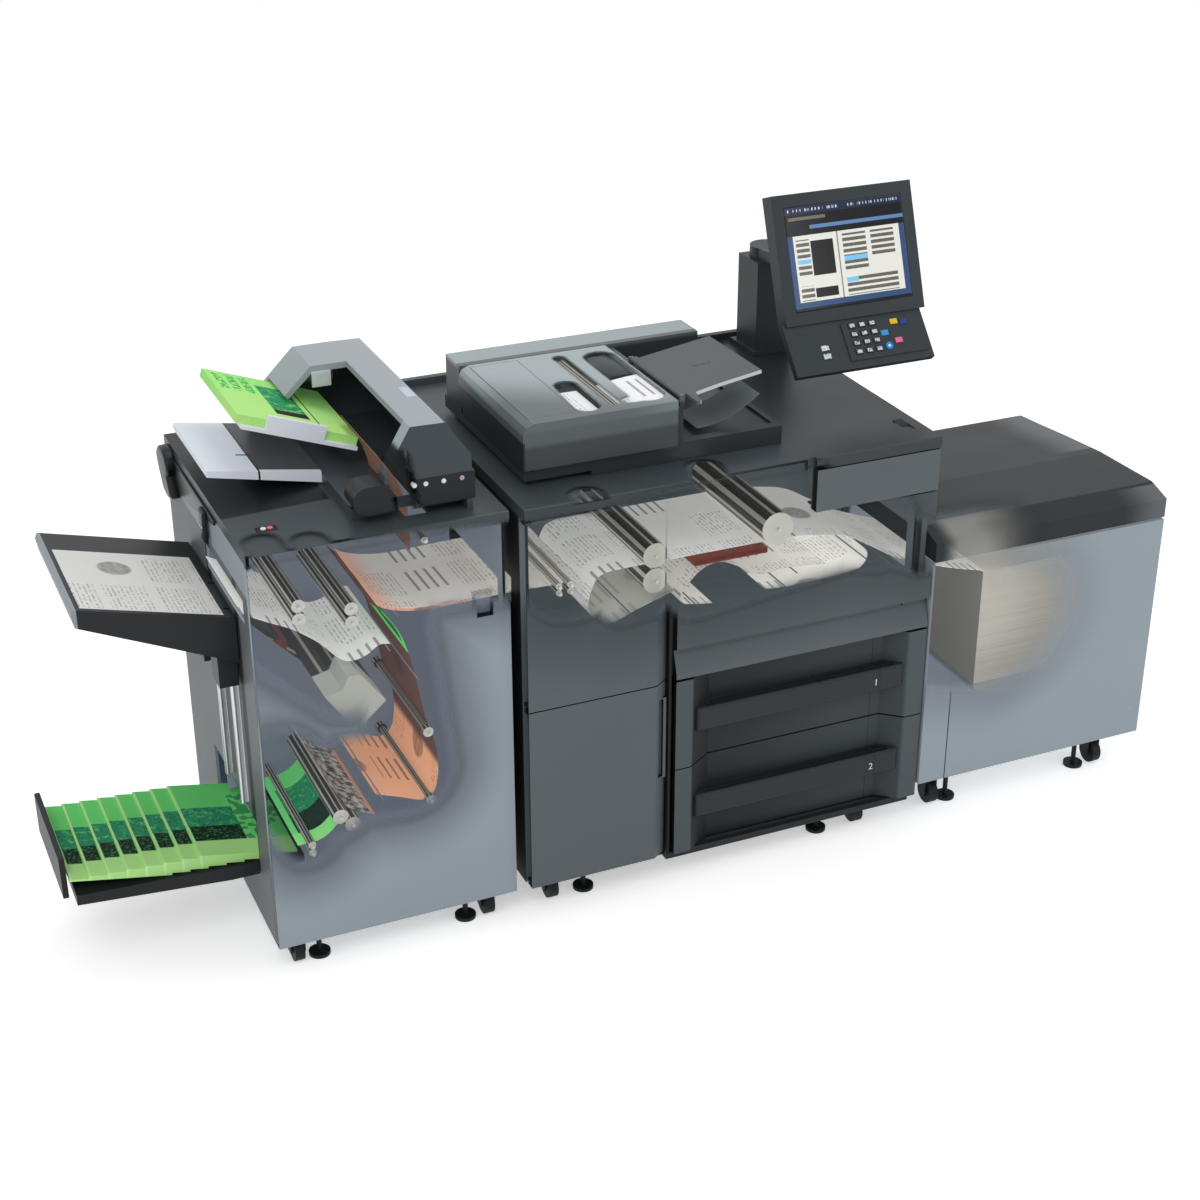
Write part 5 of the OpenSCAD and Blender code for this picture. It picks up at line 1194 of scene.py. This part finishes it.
def numeral(text, body, x, z):
    """A plain figure on a pull bar."""
    start_piece()
    bpy.ops.object.text_add(location=at(x, 1.95, z), rotation=ALONG_Y)
    figure = bpy.context.object
    figure.name = "drawer_figure_" + text
    figure.data.body = text
    figure.data.size, figure.data.extrude = 24 * MM, 0.2 * MM
    figure.data.align_x, figure.data.align_y = "CENTER", "CENTER"
    bpy.ops.object.convert(target="MESH")
    settle(figure)
    wear(figure, mark_white, body)


def side_shield():
    """The black shield along the top of the finisher's left side."""
    start_piece()
    outline = [(724, 979), (726, 940), (704, 902), (656, 893), (268, 968), (262, 979)]
    corner = at(-571.2, *outline[0])
    bpy.ops.mesh.primitive_plane_add(size=0.002, location=corner, rotation=ALONG_X)
    shield = bpy.context.object
    shield.name = "side_shield"
    settle(shield)
    bpy.ops.object.mode_set(mode="EDIT")
    bpy.ops.mesh.select_all(action="SELECT")
    bpy.ops.mesh.merge(type="CENTER")
    leave_edit()
    for near, far in zip(outline, outline[1:]):
        select_vertices(shield, [len(shield.data.vertices) - 1])
        extrude(at(0, *far) - at(0, *near))
        leave_edit()
    select_vertices(shield, range(len(shield.data.vertices)))
    bpy.ops.mesh.edge_face_add()
    leave_edit()
    select_faces(shield, lambda centre, facing: True)
    extrude((-0.005, 0, 0))
    bpy.ops.mesh.select_all(action="SELECT")
    bpy.ops.mesh.normals_make_consistent(inside=False)
    leave_edit()
    complete(shield, gloss_black, 1.6, 3)


def screws():
    """Screws with a sunk head in the rear covers: one is made, the rest are copies."""
    first = disc("cover_screw", (0, 0, 0), 5.5, 2, 20, ALONG_Y)
    sink(first, REAR, 1.2, -0.5)
    sink(first, REAR, 2.2, 0.9)
    round_edges(first, 0.3, 2)
    main = [(x, 791.2, z) for z in (100, 480, 940) for x in (40, 480, 950)]
    finisher = [(x, 724.2, z) for z in (90, 520, 960) for x in (-556, -40)]
    side = [(x, 601.2, z) for z in (130, 400, 670) for x in (1010, 1612)]
    for number, place in enumerate(main + finisher + side):
        copy = first.copy()
        copy.data = first.data.copy()
        copy.name = "cover_screw_%02d" % (number + 1)
        bpy.context.collection.objects.link(copy)
        pick(copy)
        bpy.ops.transform.translate(value=at(*place) - at(0, 0, 0))
        settle(copy)
        wear(copy, screw_steel, "machine")
    bpy.data.objects.remove(first)


def side_handle():
    """The black lever behind the lower tray, on the finisher's left side."""
    lever = disc("side_lever", (-581, 664, 962), 34, 18, 28, ALONG_X, (1.0, 1.5, 1.0))
    select_faces(lever, lambda centre, facing: facing.z < -0.8)
    extrude((0.0, -0.03, -0.04))
    leave_edit()
    sink(lever, LEFT, 6.0, -4.0)
    complete(lever, gloss_black, 2.0, 3)


channel_black = moulded(
    "channel_black", GLOSS_BLACK, 0.34, window=lambda f, x, y, z: f.sight(x, z, MAIN_SIGHT)
)
# The black channel between the left and the right doors.
plate("centre_channel", (334.5, 8, 84), (342, 33, 978), channel_black, 2.0, 3.0, FRONT, 0.6)
numeral("1", "paper_drawer_1_body", 862, 418)
numeral("2", "paper_drawer_2_body", 862, 193)

# The small plate with two status lamps on the finisher's top.
plate("lamp_plate", (-521, 126, 1000.4), (-477, 150, 1002.0), gloss_black, 1.6, 0.5, UP, 0.8, 3)
for name, x, finish in (("lamp_white", -505, mark_white), ("lamp_red", -491, lamp_red)):
    lens = disc(name, (x, 138, 1002.2), 6, 3)
    sink(lens, UP, 2.0, -0.8)
    complete(lens, finish, 0.5)

side_shield()

# The latch on the finisher's left side, with its two pale dots.
plate("side_latch", (-582, 328, 902), (-575.6, 368, 972), gloss_black, 5.0, -3.0, LEFT, 2.0, 3)
for name, y in (("latch_dot_front", 342), ("latch_dot_rear", 354)):
    dot = disc(name, (-585.2, y, 936), 3, 1.6, 24, ALONG_X)
    sink(dot, LEFT, 0.8, 0.4)
    wear(dot, mark_white, "machine")

# A sensor and a plain label on the inserter.
plate(
    "sensor_plate", (-292, 478, 1152), (-250, 482.6, 1186), label_plain, 14, 2.5, FRONT,
)
plate("ridge_label", (-164, 226, 1196.4), (-144, 286, 1198.8), ridge_label, 2.0, 0.4)
side_handle()
screws()
plate("power_inlet", (560, 788, 108), (612, 795, 146), gloss_black, 4.0, 5.0, REAR, 0.8)

# ---- Inside the document feeder ----


FEED_COVER = "adf_feed_cover_body"


def feeder_roller(name, x):
    roller = disc(name, (x, 290, 1137), 7.5, 310, turn=ALONG_Y)
    sink(roller, FRONT, 3.0, -4.0)
    sink(roller, REAR, 3.0, -4.0)
    complete(roller, dark_roller, 0.6, body=FEED_COVER)


flap_plastic = moulded("flap_plastic", tone(112, 121, 124), 0.4)
plate(
    "feeder_guide", (130, 104, 1125), (386, 470, 1127.6), feed_cover_plastic, 3, 0.6,
    body=FEED_COVER
)
feeder_roller("feeder_pinch_roller_left", 254)
feeder_roller("feeder_pinch_roller_right", 270)
plate("feeder_pick_unit", (318, 300, 1129), (376, 436, 1144), gloss_black, 8, -2, body=FEED_COVER)
document = [(284, 1130), (300, 1133), (330, 1138), (360, 1141), (385, 1142)]
sheet_piece("document_on_feeder", document, slip_page, 134, 296, body=FEED_COVER)
fed = [(182, 1130.6), (200, 1131), (220, 1131), (236, 1131)]
sheet_piece("document_fed", fed, slip_page, 138, 284, body=FEED_COVER)
flap = curve([(4.66, 2.63), (5.0, 2.66), (5.4, 2.78), (5.8, 2.96), (6.16, 3.2)])
sheet_piece("feeder_stacking_flap", flap, flap_plastic, 158, 268, body="adf_base_body")

# ---- Studio ----


def studio():
    bpy.ops.object.select_all(action="DESELECT")
    bpy.ops.mesh.primitive_plane_add(size=60.0, location=(0, 0, 0))
    floor = bpy.context.object
    floor.name = "studio_floor"
    f = Finish("studio_floor_paint", roughness=0.9, specular=0.0)
    seen = f.ray("Camera").most(f.ray("Glossy"))
    f.set(Base_Color=f.blend(f.noise(0.6, 2.0), tone(250, 250, 250), tone(254, 254, 254)))
    f.glow(f.blend(seen, (0, 0, 0, 1), (1, 1, 1, 1)), 0.45)
    floor.data.materials.append(f.material)

    world = bpy.data.worlds.new("studio_air")
    bpy.context.scene.world = world
    world.use_nodes = True
    air, sky = Nodes(world.node_tree), world.node_tree.nodes["Background"]
    seen = air.ray("Camera").most(air.ray("Glossy")).most(air.ray("Transmission"))
    air.feed(sky.inputs["Strength"], air.node("MapRange", {}, Value=seen, To_Min=0.55))
    sky.inputs["Color"].default_value = (1, 1, 1, 1)

    def lamp(name, place, target, size, power):
        data = bpy.data.lights.new(name, "AREA")
        data.size, data.energy = size, power
        data.shape = "DISK"
        made = bpy.data.objects.new(name, data)
        bpy.context.collection.objects.link(made)
        made.location = place
        made.rotation_euler = (Vector(target) - Vector(place)).to_track_quat("-Z", "Y").to_euler()

    lamp("key_lamp", (-2.5, -3.5, 4.5), (0, 0, 0.7), 2.6, 72)
    lamp("top_lamp", (0.5, 0.8, 5.0), (0.2, 0, 0.8), 3.0, 44)
    lamp("side_lamp", (4.0, -3.0, 2.6), (0.4, 0, 0.6), 2.4, 34)

    camera = bpy.data.cameras.new("photo_camera")
    camera.lens, camera.sensor_width = 61.652, 36.0
    seat = bpy.data.objects.new("photo_camera", camera)
    bpy.context.collection.objects.link(seat)
    seat.location = (-1.70868, -3.94052, 2.69776)
    seat.rotation_euler = [math.radians(a) for a in (63.5546, 0.1006, -23.694)]
    bpy.context.scene.camera = seat
    bpy.context.scene.view_settings.view_transform = "Standard"


studio()
